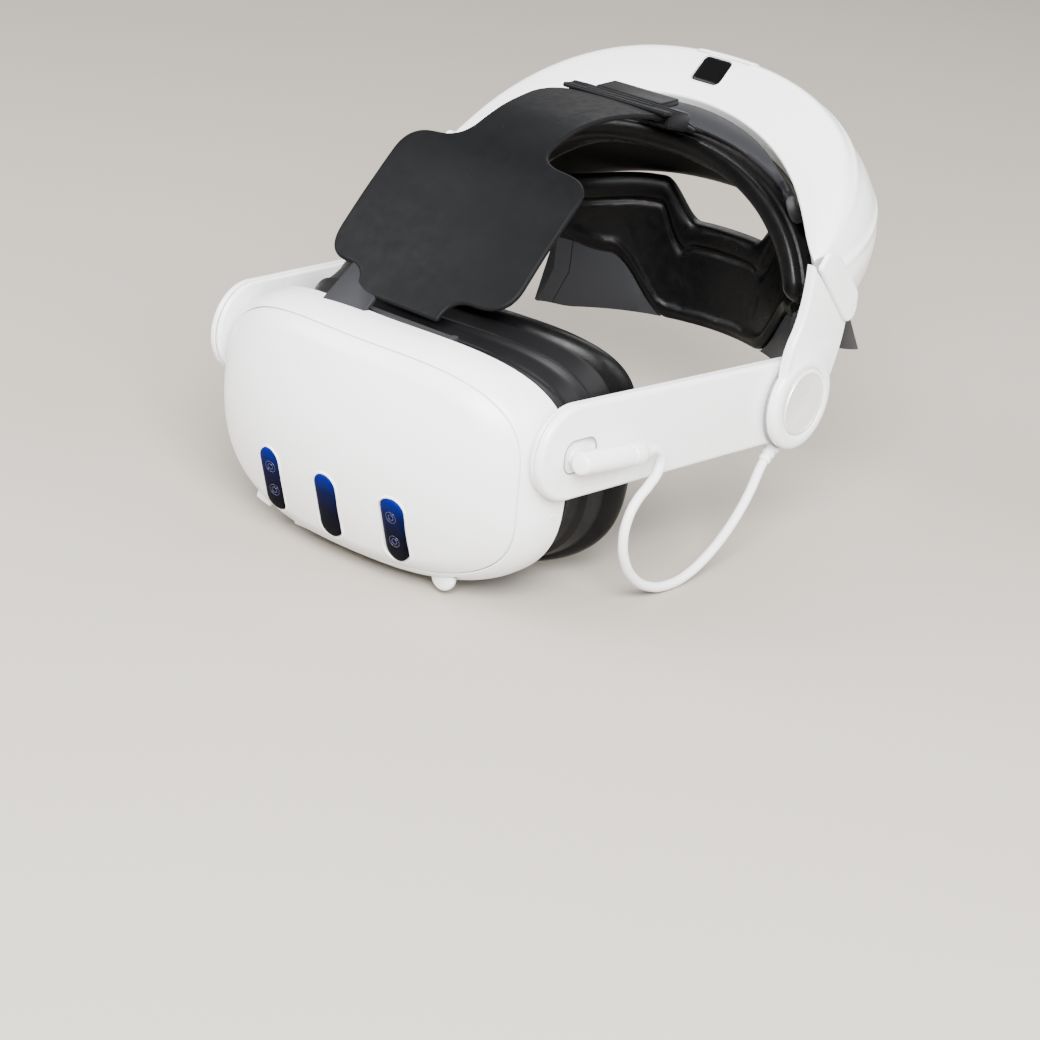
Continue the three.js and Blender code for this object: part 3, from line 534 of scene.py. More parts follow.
def circuit_board():
    look = Look("circuit_board", (0.005, 0.02, 0.012), 0.4, Coat_Weight=0.2)
    tracks = look.tree.nodes.new("ShaderNodeTexBrick")
    tracks.inputs["Scale"].default_value = 260
    tracks.inputs["Color1"].default_value = (0.004, 0.016, 0.01, 1)
    tracks.inputs["Color2"].default_value = (0.005, 0.021, 0.012, 1)
    tracks.inputs["Mortar"].default_value = (0.012, 0.035, 0.02, 1)
    look.tree.links.new(look.place, tracks.inputs["Vector"])
    look.tree.links.new(tracks.outputs["Color"], look.shader.inputs["Base Color"])
    look.bump(tracks.outputs["Fac"], 0.3, 0.05)
    look.rough(look.noise(400), 0.05)
    return look.material


def display_panel():
    look = Look("display_panel", (0.01, 0.01, 0.012), 0.12, Coat_Weight=0.8)
    look.colours(look.cells(2600), [(0.2, (0.012, 0.012, 0.016)), (0.6, (0.004, 0.004, 0.006))])
    look.rough(look.noise(300), 0.03)
    return look.material


def lens_glass():
    look = Look("lens_glass", (0.9, 0.94, 0.97), 0.04, Transmission_Weight=1.0, IOR=1.49, Coat_Weight=0.3)
    rings = look.tree.nodes.new("ShaderNodeTexNoise")
    rings.inputs["Scale"].default_value = 40
    look.tree.links.new(look.place, rings.inputs["Vector"])
    look.colours(rings.outputs["Fac"], [(0.4, (0.86, 0.92, 0.96)), (0.6, (0.93, 0.95, 0.99))])
    look.rough(look.noise(200), 0.01)
    return look.material


def pale_floor():
    look = Look("pale_floor", (0.36, 0.33, 0.29), 0.75, Specular_IOR_Level=0.2)
    look.mottle(3, 0.01)
    look.bump(look.noise(260, 4), 0.05, 0.3)
    return look.material


FINISHES = {
    "white_shell": moulded("white_shell", (0.83, 0.83, 0.835), 0.33, 2600, 0.03, Coat_Weight=0.12,
                           Coat_Roughness=0.25),
    "white_strap": moulded("white_strap", (0.84, 0.84, 0.845), 0.27, 2600, 0.02, Coat_Weight=0.25,
                           Coat_Roughness=0.18),
    "white_lead": moulded("white_lead", (0.8, 0.8, 0.81), 0.42, 1800, 0.05, Sheen_Weight=0.1),
    "dark_grey_plastic": moulded("dark_grey_plastic", (0.02, 0.0205, 0.0225), 0.46, 2200, 0.08,
                                 Specular_IOR_Level=0.1),
    "black_satin": moulded("black_satin", (0.0045, 0.0046, 0.0052), 0.36, 2200, 0.06,
                           Specular_IOR_Level=0.07),
    "black_gloss": moulded("black_gloss", (0.002, 0.002, 0.0022), 0.16, 2600, 0.02,
                          Specular_IOR_Level=0.12),
    "satin_grey": moulded("satin_grey", (0.016, 0.0163, 0.0185), 0.4, 2200, 0.06,
                          Specular_IOR_Level=0.1),
    "lens_ring": moulded("lens_ring", (0.008, 0.01, 0.05), 0.2, 3000, 0.01),
    # A mid grey for the real joint line along each arm, and as painted shade in the narrow gaps round the
    # port, the hinge drums and the latch tab.
    "joint_and_shade_grey": moulded("joint_and_shade_grey", (0.2, 0.2, 0.21), 0.5, 2200, 0.04),
    "black_plastic": moulded("black_plastic", (0.005, 0.005, 0.0055), 0.42, 2400, 0.08,
                             Specular_IOR_Level=0.12),
    "charcoal_panel": leather("charcoal_panel", (0.0045, 0.0046, 0.0052), 0.46, 2100, 0.02,
                              Specular_IOR_Level=0.05),
    "black_leather": leather("black_leather", (0.0022, 0.0022, 0.0024), 0.34, 1150, 0.05,
                             Specular_IOR_Level=0.13),
    "tinted_window": window_glass(),
    "lens_glass": lens_glass(),
    "display_panel": display_panel(),
    "brushed_cap": brushed_cap(),
    "steel": ground_metal("steel", (0.6, 0.61, 0.62), 0.28, (0.05, 1, 1)),
    "heat_sink_metal": ground_metal("heat_sink_metal", (0.55, 0.56, 0.57), 0.45, (1, 1, 1)),
    "circuit_board": circuit_board(),
    "battery_wrap": moulded("battery_wrap", (0.08, 0.17, 0.4), 0.35, 900, 0.05, Coat_Weight=0.3),
}


def finish_cad_nodes():
    """The small CAD pieces whose shapes are right keep them, with the finish of their slot."""
    for item in frame["record"]["subparts"]:
        obj = frame["nodes"][item["node"]]
        obj.data.materials.clear()
        obj.data.materials.append(FINISHES[item["material_slot"]])


# ---------- camera, light and floor ----------
def build_camera():
    data = bpy.data.cameras.new("Camera")
    data.sensor_width = 36
    data.lens = 100.385
    data.clip_start = 0.05
    camera = bpy.data.objects.new("Camera", data)
    right = Vector((0.76839932, 0.62947998, 0.11540119))
    up = Vector((-0.3178475, 0.2188669, 0.92253473))
    back = Vector((0.55545967, -0.74555504, 0.36825566))
    camera.matrix_world = Matrix.Translation((0.687758, -0.971202, 0.380619)) @ Matrix((
        (right.x, up.x, back.x), (right.y, up.y, back.y), (right.z, up.z, back.z))).to_4x4()
    bpy.context.scene.collection.objects.link(camera)
    bpy.context.scene.camera = camera


def area_light(name, place, size, power):
    data = bpy.data.lights.new(name, "AREA")
    data.shape = "RECTANGLE"
    data.size, data.size_y = size
    data.energy = power
    light = bpy.data.objects.new(name, data)
    light.location = place
    light.rotation_euler = (Vector((0, -0.04, 0.02)) - Vector(place)).to_track_quat("-Z", "Y").to_euler()
    bpy.context.scene.collection.objects.link(light)


def build_stage():
    low = CAD_BOX[0][2] / MM - 0.2
    half = 6000
    corners = [(-half, -half, low), (half, -half, low), (half, half, low), (-half, half, low)]
    floor = new_object("floor", corners, [(0, 1, 2, 3)])
    floor.data.materials.append(pale_floor())
    world = bpy.data.worlds.new("World")
    world.use_nodes = True
    background = world.node_tree.nodes["Background"]
    background.inputs["Color"].default_value = (0.93, 0.93, 0.92, 1)
    background.inputs["Strength"].default_value = 0.56
    bpy.context.scene.world = world
    area_light("key_light", (0.75, -0.95, 0.85), (0.9, 0.7), 92)
    area_light("left_light", (-1.0, -0.9, 0.9), (1.0, 0.8), 36)
    area_light("back_light", (-0.3, 1.1, 1.1), (1.2, 0.8), 16)
    area_light("right_light", (1.2, 0.35, 0.7), (0.8, 0.8), 18)


# ---------- power lead and plug ----------
LEAD_ROUTE = [
    (91.8, -8.6, -25.6), (92.3, -12.4, -29.7), (93.7, -18.6, -36.2), (94.6, -26.2, -43.9),
    (95.3, -35.9, -51.5), (95.9, -47.6, -58.2), (96.2, -60.2, -62.9), (96.2, -73.4, -64.3),
    (95.9, -86.5, -61.8), (95.7, -97.6, -55.5), (95.9, -105.4, -46.6), (96, -108.8, -37.1),
    (96, -107.8, -28.1), (95.9, -103, -21), (95.9, -96.7, -16.5), (95.8, -91.3, -11.4),
    (95.7, -90.4, -5.9), (95.5, -93.9, -2.2), (95.6, -100.7, -1.2),
]
PLUG_X, PLUG_RADIUS, PLUG_FRONT_Y, PLUG_REAR_Y = 94, 4.6, -142.1, -101.2


def build_plug():
    length = PLUG_REAR_Y - PLUG_FRONT_Y
    profile = [(0.05, 0), (2.4, 0), (3.6, 0.25), (4.2, 0.75), (4.5, 1.5), (PLUG_RADIUS, 2.4),
               (PLUG_RADIUS, 29.4), (4.35, 29.7), (4.35, 30.3), (PLUG_RADIUS, 30.6), (PLUG_RADIUS, 35.2),
               (4.4, 36.4), (3.9, 37.6), (3.3, 38.4), (2.9, 39.2), (2.75, length), (0.05, length)]
    body = turned("power_plug_body", "y", profile, sides=56)
    lean = Matrix.Rotation(-0.075, 4, "X")
    swing = Matrix.Rotation(-ARM_SPLAY, 4, "Z")
    moved(body, Matrix.Translation(Vector((PLUG_X, PLUG_FRONT_Y, PORT_Z)) * MM) @ swing @ lean)
    loop = [(PORT_Y + u, PORT_Z - 0.4 + v) for u, v in rounded_rectangle(5.4, 3.4, 3.2)]
    stem = slab_x("stem", loop, 87, 92.5, 0.3, 0.3)
    join(body, stem)
    return settle(body, "white_strap", "visor", "power_plug")


def build_lead():
    curve = bpy.data.curves.new("lead", "CURVE")
    curve.dimensions = "3D"
    curve.bevel_depth = LEAD_DIAMETER / 2 * MM
    curve.bevel_resolution = 6
    curve.resolution_u = 14
    spline = curve.splines.new("BEZIER")
    spline.bezier_points.add(len(LEAD_ROUTE) - 1)
    for knot, place in zip(spline.bezier_points, LEAD_ROUTE):
        knot.co = Vector(place) * MM
        knot.handle_left_type = knot.handle_right_type = "AUTO"
    lead = bpy.data.objects.new("lead", curve)
    bpy.context.scene.collection.objects.link(lead)
    curve.materials.append(FINISHES["white_lead"])
    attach(lead, "visor")
    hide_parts("power_lead")
    return lead


def build_gland():
    """The tapered sleeve where the lead leaves the hinge, with two flex rings."""
    profile = [(1.9, -1.5), (2.5, -1.2), (2.65, 0.6), (2.2, 1.0), (2.2, 1.5), (2.8, 1.9), (2.9, 3.2),
               (2.45, 3.6), (2.45, 4.1), (3.1, 4.5), (3.5, 6.6), (3.55, 7.2), (2.5, 7.4), (1.9, 7.4)]
    gland = turned("lead_sleeve", "z", profile, sides=40, joined=True)
    place = Matrix.Translation(Vector(LEAD_ROUTE[0]) * MM)
    return settle(moved(gland, place @ Matrix.Rotation(-math.pi / 4, 4, "X")), "white_lead", "visor",
                  "lead_gland")


def build_cords():
    plug = build_plug()
    lead = build_lead()
    build_gland()


# ---------- visor ----------
AROUND = 192


def even_angles(half_width, half_height, exponent, count):
    """Angles that give a superellipse's points at equal steps round its outline."""
    fine = 4096
    run = [Vector(superellipse(half_width, half_height, exponent, TURN * i / fine)) for i in range(fine + 1)]
    lengths = travelled(run)
    angles, index = [], 0
    for k in range(count):
        target = lengths[-1] * (k + 0.5) / count
        while lengths[index + 1] < target:
            index += 1
        share = (target - lengths[index]) / (lengths[index + 1] - lengths[index])
        angles.append(TURN * (index + share) / fine)
    return angles


OUTLINE_ANGLES = even_angles(VISOR_HALF_WIDTH, VISOR_HALF_HEIGHT, VISOR_CORNER, AROUND)


def visor_outline(inset):
    points = []
    for angle in OUTLINE_ANGLES:
        x, z = superellipse(VISOR_HALF_WIDTH - inset, VISOR_HALF_HEIGHT - inset, VISOR_CORNER, angle)
        points.append((x, max(z, -VISOR_FLAT + max(0, inset - 1))))
    return points


def face_y(x, z):
    wrap = SIDE_WRAP * (x / SIDE_WRAP_X) ** 4
    return x * x / (2 * FACE_RADIUS_X) + wrap + (z - FACE_CROWN_Z) ** 2 / (2 * FACE_RADIUS_Z)


def plate_y(x, z):
    """The front plate's surface, which rolls back at its edge."""
    across = abs(x) / (VISOR_HALF_WIDTH - PLATE_INSET)
    up = abs(z) / (VISOR_HALF_HEIGHT - PLATE_INSET)
    scale = (across**VISOR_CORNER + up**VISOR_CORNER) ** (1 / VISOR_CORNER)
    return face_y(x, z) + PLATE_EDGE_DROP * max(0, (scale - 0.86) / 0.14) ** 2


def in_visor(x, y, z):
    """A point of the visor's own frame, whose origin is on its crown."""
    return (x, y + VISOR_Y, z + VISOR_Z)


PILL_TILT = math.atan2(FACE_CROWN_Z - PILL_Z, FACE_RADIUS_Z)


def pill_point(x, u, y, v):
    """A point of a window: u across it, v up it and y behind the face."""
    c, s = math.cos(PILL_TILT), math.sin(PILL_TILT)
    return in_visor(x + u, y * c - v * s + face_y(x, PILL_Z), y * s + v * c + PILL_Z)


def pill_loop(grow, per_corner=16):
    return rounded_rectangle(PILL_HALF_WIDTH + grow, PILL_HALF_HEIGHT + grow, PILL_HALF_WIDTH + grow,
                             per_corner)


def pill_slab(name, x, profile):
    """A window-shaped slab from [growth, depth behind the face] points."""
    rings = [[pill_point(x, u, y, v) for u, v in pill_loop(grow)] for grow, y in profile]
    return new_object(name, *loft(rings))


def set_plate_normals(obj):
    """The crowned front keeps its exact normals beside the window cuts."""
    mesh = obj.data
    mesh.shade_smooth()
    normals = [Vector((0, 0, 0))] * len(mesh.loops)
    step = 0.05
    for polygon in mesh.polygons:
        if polygon.normal.y > -0.35:
            continue
        for index in polygon.loop_indices:
            co = mesh.vertices[mesh.loops[index].vertex_index].co / MM
            x, z = co.x, co.z - VISOR_Z
            slope_x = (plate_y(x + step, z) - plate_y(x - step, z)) / (2 * step)
            slope_z = (plate_y(x, z + step) - plate_y(x, z - step)) / (2 * step)
            exact = Vector((slope_x, -1, slope_z)).normalized()
            if exact.dot(polygon.normal) > 0.94:
                normals[index] = exact
    mesh.normals_split_custom_set(normals)


def build_front_plate():
    edge = visor_outline(PLATE_INSET)
    front = [share**0.85 for share in spaced(0.02, 0.994, 38)]
    rings = [[in_visor(x * s, plate_y(x * s, z * s), z * s) for x, z in edge] for s in front]
    turn_back = [(0.998, 0.12), (1, 0.5), (1, PLATE_THICKNESS)]
    for scale, drop in turn_back + [(share, PLATE_THICKNESS) for share in (0.9, 0.7, 0.45, 0.2)]:
        rings.append([in_visor(x * scale, plate_y(x * scale, z * scale) + drop, z * scale) for x, z in edge])
    plate = new_object("front_cover", *loft(rings))
    for x in (PILL_X, 0, -PILL_X):
        cut(plate, pill_slab("window_hole", x, [(0, -6), (0, 8)]))
    settle(plate, "white_shell", "visor", "front_plate", sharp=40)
    set_plate_normals(plate)


def build_windows():
    for side, x in (("left", PILL_X), ("middle", 0), ("right", -PILL_X)):
        profile = [(-0.25, 1.9), (-0.25, 0.55), (-0.4, 0.32), (-0.8, 0.2), (-2, 0.08), (-3.4, 0.02),
                   (-4.6, 0)]
        glass = pill_slab(f"window_{side}", x, profile)
        settle(glass, "tinted_window", "visor", f"sensor_window_{side}", sharp=60)
        line = []
        for u, v in pill_loop(0.5, 20):
            px, _, pz = pill_point(x, u, 0, v)
            line.append(Vector(in_visor(px, plate_y(px, pz - VISOR_Z) + 0.12, pz - VISOR_Z)))
        rim = tube(f"window_rim_{side}", line, 0.62, sides=12, closed=True)
        settle(rim, "white_shell", "visor", sharp=0)
        if x:
            build_window_lenses(side, x)


def build_window_lenses(side, x):
    """Two camera lenses just under each outer window's glass, as fine bright-edged rings."""
    rings = []
    for height in (6.2, -5.2):
        for radius, bead in ((2.5, 0.16), (1.25, 0.2)):
            line = [Vector(pill_point(x, radius * math.cos(a), -0.02, height + radius * math.sin(a)))
                    for a in circle(40)]
            rings.append(tube("ring", line, bead, sides=6, closed=True))
    lenses = rings[0]
    join(lenses, *rings[1:])
    lenses.name = f"window_lenses_{side}"
    settle(lenses, "lens_ring", "visor", slot="tinted_window", sharp=0)


def shell_rear_y(x):
    return SHELL_DEPTH + x * x / (2 * SHELL_REAR_RADIUS)


def shell_ring(inset, share):
    return [
        in_visor(x, (face_y(x, z) + PLATE_EDGE_DROP) * (1 - share) + shell_rear_y(x) * share, z)
        for x, z in visor_outline(inset)
    ]


def build_shell():
    knots = [(4.65, 0.035), (4.2, 0.022), (2.4, 0.12), (0.8, 0.33), (0.05, 0.6), (0, 0.8), (0, 0.985)]
    outside = [(p.x, p.y) for p in catmull([Vector(knot) for knot in knots], 6)]
    inside = [(0.25, 1), (2.2, 1), (SHELL_WALL, 0.98), (SHELL_WALL, 0.6), (SHELL_WALL + 0.8, 0.33),
              (4.65, 0.14)]
    shell = new_object("visor_body", *loft([shell_ring(*p) for p in outside + inside], joined=True))
    cut(shell,
        block("slot", (15, 4.2, 14), in_visor(WHEEL_X, 26.5, -44.5), 0),
        block("slot", (9, 3.6, 14), in_visor(POWER_X, BUTTON_Y, -44), 0),
        block("slot", (18, 3.6, 12), in_visor(ROCKER_X, BUTTON_Y, -47), 0))
    settle(shell, "white_shell", "visor", "visor_shell", sharp=40)
    profile = [(0.05, 0.55), (0.5, 0.5), (1.0, 0.3), (1.25, 0), (1.25, -0.8), (0.05, -0.8)]
    for side, x in (("left", 81.6), ("right", -81.6)):
        settle(turned(f"shell_screw_{side}", "x", profile, (x, -137.6, -24.4), 24), "white_shell", "visor")


def build_controls():
    profile = [(0.05, 24.9), (4.9, 24.9), (5.6, 25.5), (5.6, 27.5), (4.9, 28.1), (0.05, 28.1)]
    wheel = knurled("spacing_wheel", profile, in_visor(WHEEL_X, 0, WHEEL_Z), 36, 0.35, 5, 144)
    settle(wheel, "white_shell", "wheel", "ipd_wheel", sharp=50)
    power = block("power_key", (8.2, 3, 3.4), (0, 0, 0), 0.7, 4)
    lean = Matrix.Rotation(0.25, 4, "Y")
    moved(power, Matrix.Translation(Vector(in_visor(POWER_X, BUTTON_Y, -42.9)) * MM) @ lean)
    settle(power, "white_shell", "power", "power_button")
    rocker = block("volume_key", (17, 3, 3.6), in_visor(ROCKER_X, BUTTON_Y, -46.2), 0.7, 4)
    settle(rocker, "white_shell", "volume", "volume_rocker")


def build_optics():
    for side, x in (("left", EYE_X), ("right", -EYE_X)):
        centre = in_visor(x, 0, 0)
        rise = [(r, 45.2 - 0.4 * (r / 12) ** 2 if r < 12 else 44.8 - 0.018 * (r - 12) ** 2)
                for r in range(1, LENS_RADIUS)]
        profile = [(0.05, 45.2), *rise, (LENS_RADIUS, 43), (LENS_RADIUS, 41.2), (18, 39.8), (12, 38.2),
                   (6, 37.6), (0.05, 37.4)]
        glass = turned(f"eye_lens_{side}", "y", profile, centre, 96)
        settle(glass, "lens_glass", f"{side}_eye", f"lens_{side}", sharp=50)
        trim = [(22.2, 44.6), (22.3, 46.2), (22.8, 46.9), (23.6, 47.1), (24.3, 46.8), (24.6, 46.1),
                (24.7, 44.2), (24.2, 43.8), (24.2, 40), (22.25, 40)]
        ring = turned(f"eye_ring_{side}", "y", trim, centre, 96, joined=True)
        settle(ring, "black_plastic", f"{side}_eye")


# ---------- face interface and cushion ----------
RIM_HALF_WIDTH, RIM_HALF_HEIGHT, RIM_Z, RIM_CORNER = 79, 52, 2, 4
RIM_DEPTH, RIM_RADIUS, TEMPLE_WRAP = 71.6, 160, 10
CUSHION_THICKNESS, CUSHION_WIDTH = 14, 17
NOSE_RISE, NOSE_HALF_WIDTH = 24, 15


def rim_outline(inset):
    points = []
    for angle in OUTLINE_ANGLES:
        x, z = superellipse(RIM_HALF_WIDTH - inset, RIM_HALF_HEIGHT - inset, RIM_CORNER, angle)
        nose = NOSE_RISE * bump_at(x, 0, NOSE_HALF_WIDTH + inset / 2) if z < 0 else 0
        points.append((x, z + RIM_Z + nose))
    return points


def rim_y(x):
    return RIM_DEPTH + x * x / (2 * RIM_RADIUS) + TEMPLE_WRAP * (x / RIM_HALF_WIDTH) ** 6


def interface_ring(visor_inset, rim_inset, share, offset):
    ring = []
    for (x, z), (rx, rz) in zip(visor_outline(visor_inset), rim_outline(rim_inset)):
        px = x + (rx - x) * share
        start = shell_rear_y(px) + offset
        end = rim_y(rx) - CUSHION_THICKNESS - GAP
        ring.append(in_visor(px, start + (end - start) * share, z + (rz - z) * share))
    return ring


def build_face_interface():
    """The stepped black wall between the visor and the face cushion, with two moulded ribs."""
    wall = 1.8
    outside = [(4, 3, 0, -2.2), (4, 3, 0, 0.6), (4.3, 3, 0, 1), (6.4, 3.2, 0, 2.4), (7, 3.4, 0, 3)]
    for share in spaced(0.03, 0.97, 34):
        rib = bump_at(share, 0.26, 0.05) + 1.3 * bump_at(share, 0.62, 0.045)
        outside.append((7 - rib, 3.4 - rib, share, 3))
    outside += [(7, 3.2, 0.99, 3), (7.3, 3.6, 1, 3)]
    inside = [(7 + wall, 3 + wall, 1, 3), (7 + wall, 3 + wall, 0.5, 3), (7 + wall, 3 + wall, 0, 3),
              (4 + wall, 3 + wall, 0, 1), (4 + wall, 3 + wall, 0, -2.2)]
    rings = [interface_ring(*ring) for ring in outside + inside]
    shroud = new_object("face_shroud", *loft(rings, joined=True))
    settle(shroud, "black_plastic", "face", "face_interface", sharp=45)


def creased(points, creases, fine=400):
    """Presses creases into a closed section: each is a share of the way round, a depth and a width."""
    centre = sum((Vector(p) for p in points), Vector((0, 0))) / len(points)
    run = [Vector(p) for p in points] + [Vector(points[0])]
    even, length = along(run, fine + 1)
    result = []
    for i, point in enumerate(even[:-1]):
        press = 0
        for share, depth, width in creases:
            apart = abs(i / fine - share)
            apart = min(apart, 1 - apart) * length
            press += depth * math.exp(-abs(apart / width) ** 1.3)
        inward = (centre - point).normalized()
        result.append(point + inward * press)
    return result


def puff(obj, cap):
    """Swells a pad as cloth over soft foam, and keeps each point within cap of where it was."""
    scene = bpy.context.scene
    steps = 20
    before = [v.co.copy() for v in obj.data.vertices]
    cloth = obj.modifiers.new("Cloth", "CLOTH")
    cloth.settings.quality = 5
    cloth.settings.mass = 0.3
    cloth.settings.tension_stiffness = 8
    cloth.settings.compression_stiffness = 8
    cloth.settings.bending_stiffness = 0.3
    cloth.settings.use_pressure = True
    cloth.settings.uniform_pressure_force = 4.0
    cloth.settings.effector_weights.gravity = 0
    cloth.point_cache.frame_start = 1
    cloth.point_cache.frame_end = steps
    for step in range(1, steps + 1):
        scene.frame_set(step)
    graph = bpy.context.evaluated_depsgraph_get()
    swollen = obj.evaluated_get(graph).to_mesh()
    after = [v.co.copy() for v in swollen.vertices]
    obj.evaluated_get(graph).to_mesh_clear()
    obj.modifiers.clear()
    scene.frame_set(1)
    limit = cap * MM
    for vertex, old, new in zip(obj.data.vertices, before, after):
        move = new - old
        if move.length > limit:
            move *= limit / move.length
        vertex.co = old + move


def subdivide(obj):
    modifier = obj.modifiers.new("Subdivision", "SUBSURF")
    modifier.levels = modifier.render_levels = 1
    apply_modifiers(obj)


def build_face_cushion():
    """A leather ring pad: a broad roll against the face and a narrow one behind it, with a crease between."""
    half = CUSHION_THICKNESS / 2
    base = [superellipse(CUSHION_WIDTH / 2 - 0.5, half - 0.3, 2.7, angle) for angle in circle(120)]
    section = creased(base, [(0.445, 1.5, 0.9), (0.97, 0.7, 1.2)], 36)
    rings = []
    for across, depth in section:
        rings.append([in_visor(x, rim_y(x) - half + depth, z)
                      for x, z in rim_outline(CUSHION_WIDTH / 2 + across)])
    pad = new_object("face_pad", *loft(rings, joined=True))
    puff(pad, 0.2)
    subdivide(pad)
    settle(pad, "black_leather", "face", "face_cushion", sharp=0)


# ---------- arms and hinges ----------
def splayed(obj):
    for vertex in obj.data.vertices:
        vertex.co.x += ARM_SPLAY * (vertex.co.y - ARM_FRONT_Y * MM)
    return obj


def arm_loop(inset):
    """The arm in side view, counter-clockwise in (y, z): two circles joined by their tangents."""
    reach = math.hypot(ARM_FRONT_Y, ARM_FRONT_Z)
    lean = math.atan2(ARM_FRONT_Z, ARM_FRONT_Y)
    tangent = math.acos((ARM_FRONT_RADIUS - ARM_REAR_RADIUS) / reach)

    def arc(y, z, radius, start, end, count):
        return [(y + (radius - inset) * math.cos(a), z + (radius - inset) * math.sin(a))
                for a in spaced(start, end, count)]

    def between(a, b):
        return [(a[0] + (b[0] - a[0]) * t, a[1] + (b[1] - a[1]) * t) for t in spaced(0, 1, 24)[1:-1]]

    front = arc(ARM_FRONT_Y, ARM_FRONT_Z, ARM_FRONT_RADIUS, lean - tangent, lean + tangent, 56)
    rear = arc(0, 0, ARM_REAR_RADIUS, lean + tangent, lean - tangent + TURN, 40)
    return front + between(front[-1], rear[0]) + rear + between(rear[-1], front[0])


def arm_slab(name, inset, low, high, radius_low, radius_high):
    rings = [
        [(x, y, z) for y, z in arm_loop(inset + edge)]
        for edge, x in rounded_profile(low, high, radius_low, radius_high, 7)
    ]
    return splayed(new_object(name, *loft(rings)))


def build_arms():
    split = ARM_INNER_X + COVER_SPLIT
    cover = arm_slab("arm_cover_left", 0, split + 2 * GAP, ARM_OUTER_X, 0.25, 2.1)
    mirror = mirrored(cover, "arm_cover_right")
    loop = [(PORT_Y + u, PORT_Z + v) for u, v in rounded_rectangle(9, 6.6, 5)]
    cut(cover, slab_x("port", loop, 86.9, 95, 0.3, 0.3))
    # A grey bead round the port's opening: painted shade in the narrow gap round the plug's recess.
    line = [Vector((ARM_OUTER_X + 0.02 + ARM_SPLAY * (y - ARM_FRONT_Y), y, z)) for y, z in loop]
    edge = tube("port_shade_edge", line, 0.3, sides=8, closed=True)
    settle(edge, "joint_and_shade_grey", "visor", slot="white_strap", sharp=0)
    settle_pair(cover, mirror, "white_strap", "visor", "arm_outer")
    inner = arm_slab("arm_lining_left", 0.3, ARM_INNER_X, split, 1.0, 0.25)
    settle_pair(inner, mirrored(inner, "arm_lining_right"), "white_strap", "visor", "arm_inner")
    seam = arm_slab("arm_seam_left", 0.7, split - GAP, split + 3 * GAP, 0.1, 0.1)
    settle_pair(seam, mirrored(seam, "arm_seam_right"), "joint_and_shade_grey", "visor", slot="dark_grey_plastic")


def bezier_run(start, middle, end, count=12):
    return [(quadratic(start[0], middle[0], end[0], t), quadratic(start[1], middle[1], end[1], t))
            for t in spaced(0, 1, count)]


def band_loop():
    """The side band in (y, z), counter-clockwise, from the drum up to the housing's slanted end."""
    front = bezier_run((-15, 8), (-17, 22), (-11, 31)) + bezier_run((-11, 31), (-5.5, 42), (-6.6, 59.6))[1:]
    top = bezier_run((-6.6, 59.6), (9, 46.4), (24.5, 33.3), 14)[1:]
    rear = bezier_run((24.5, 33.3), (24.5, 20), (17, 4), 16)[1:]
    foot = bezier_run((17, 4), (1, 6), (-15, 8), 10)[1:-1]
    return (front + top + rear + foot)[::-1]


def build_hinges():
    """Each side's drum with its band, a grey ring of painted shade in the gap behind the drum and the dished
    cap in it.
    """
    sides = 112
    profile = [(0.05, DRUM_INNER_X), (19.6, DRUM_INNER_X), (20.2, 96.6), (DRUM_RADIUS, 97.2),
               (DRUM_RADIUS, 98.8), (20.3, 99.5), (19.8, 100.15), (19.1, 100.6), (18.2, 100.9),
               (17.2, DRUM_OUTER_X), (15.6, DRUM_OUTER_X), (15.2, 100.85), (15, 100.4), (14.7, 100.2),
               (14.1, 100.2), (13.85, 100), (0.05, 100)]
    drum = turned("side_band_left_piece", "x", profile, sides=sides)
    join(drum, slab_x("band", band_loop(), DRUM_INNER_X, 100.2, 0.3, 1.3))
    settle_pair(drum, mirrored(drum, "side_band_right_piece"), "white_strap", "cradle", "side_band")
    # The grey ring sits in the gap between the drum and the arm: painted shade, standing for the drum's
    # contact shadow on the arm.
    profile = [(20.2, 95.4), (20.85, 95.4), (20.85, 95.85), (20.2, 95.85)]
    line = turned("hinge_shade_ring_left", "x", profile, sides=sides, joined=True)
    settle_pair(line, mirrored(line, "hinge_shade_ring_right"), "joint_and_shade_grey", "cradle", slot="dark_grey_plastic")
    profile = [(0.05, 100.3), (13.5, 100.3), (13.5, 101), (13.3, 101.3), (12.9, 101.4), (12.4, 101.36),
               (12.2, 101.2), (0.4, 100.5), (0.05, 100.5)]
    cap = turned("hinge_disc_left", "x", profile, sides=sides)
    settle_pair(cap, mirrored(cap, "hinge_disc_right"), "brushed_cap", "cradle", "hinge_cap")


# ---------- halo ----------
def on_arch(x, up, off):
    return Vector((
        x,
        up * math.cos(ARCH_TILT) - off * math.sin(ARCH_TILT),
        up * math.sin(ARCH_TILT) + off * math.cos(ARCH_TILT),
    ))


TIP_ANGLE, INNER_TIP_ANGLE = math.radians(10), math.radians(21)


def spread(start, share):
    return start + share * (math.pi - 2 * start)


def crescent_inner(share):
    angle = spread(INNER_TIP_ANGLE, share)
    flare = 8 * abs(2 * share - 1) ** 10
    return 96 * math.cos(angle) + flare * math.copysign(1, math.cos(angle)), 6.1 + 88.7 * math.sin(angle)


def crescent_outer(share):
    x, up = superellipse(100.4, 106.6, 2.3, spread(TIP_ANGLE, share))
    return x, 18 + up


def housing_plan(inset, start, share):
    return superellipse(HOUSING_HALF_WIDTH - inset, HOUSING_REACH - inset, HOUSING_CORNER,
                        spread(start, share))


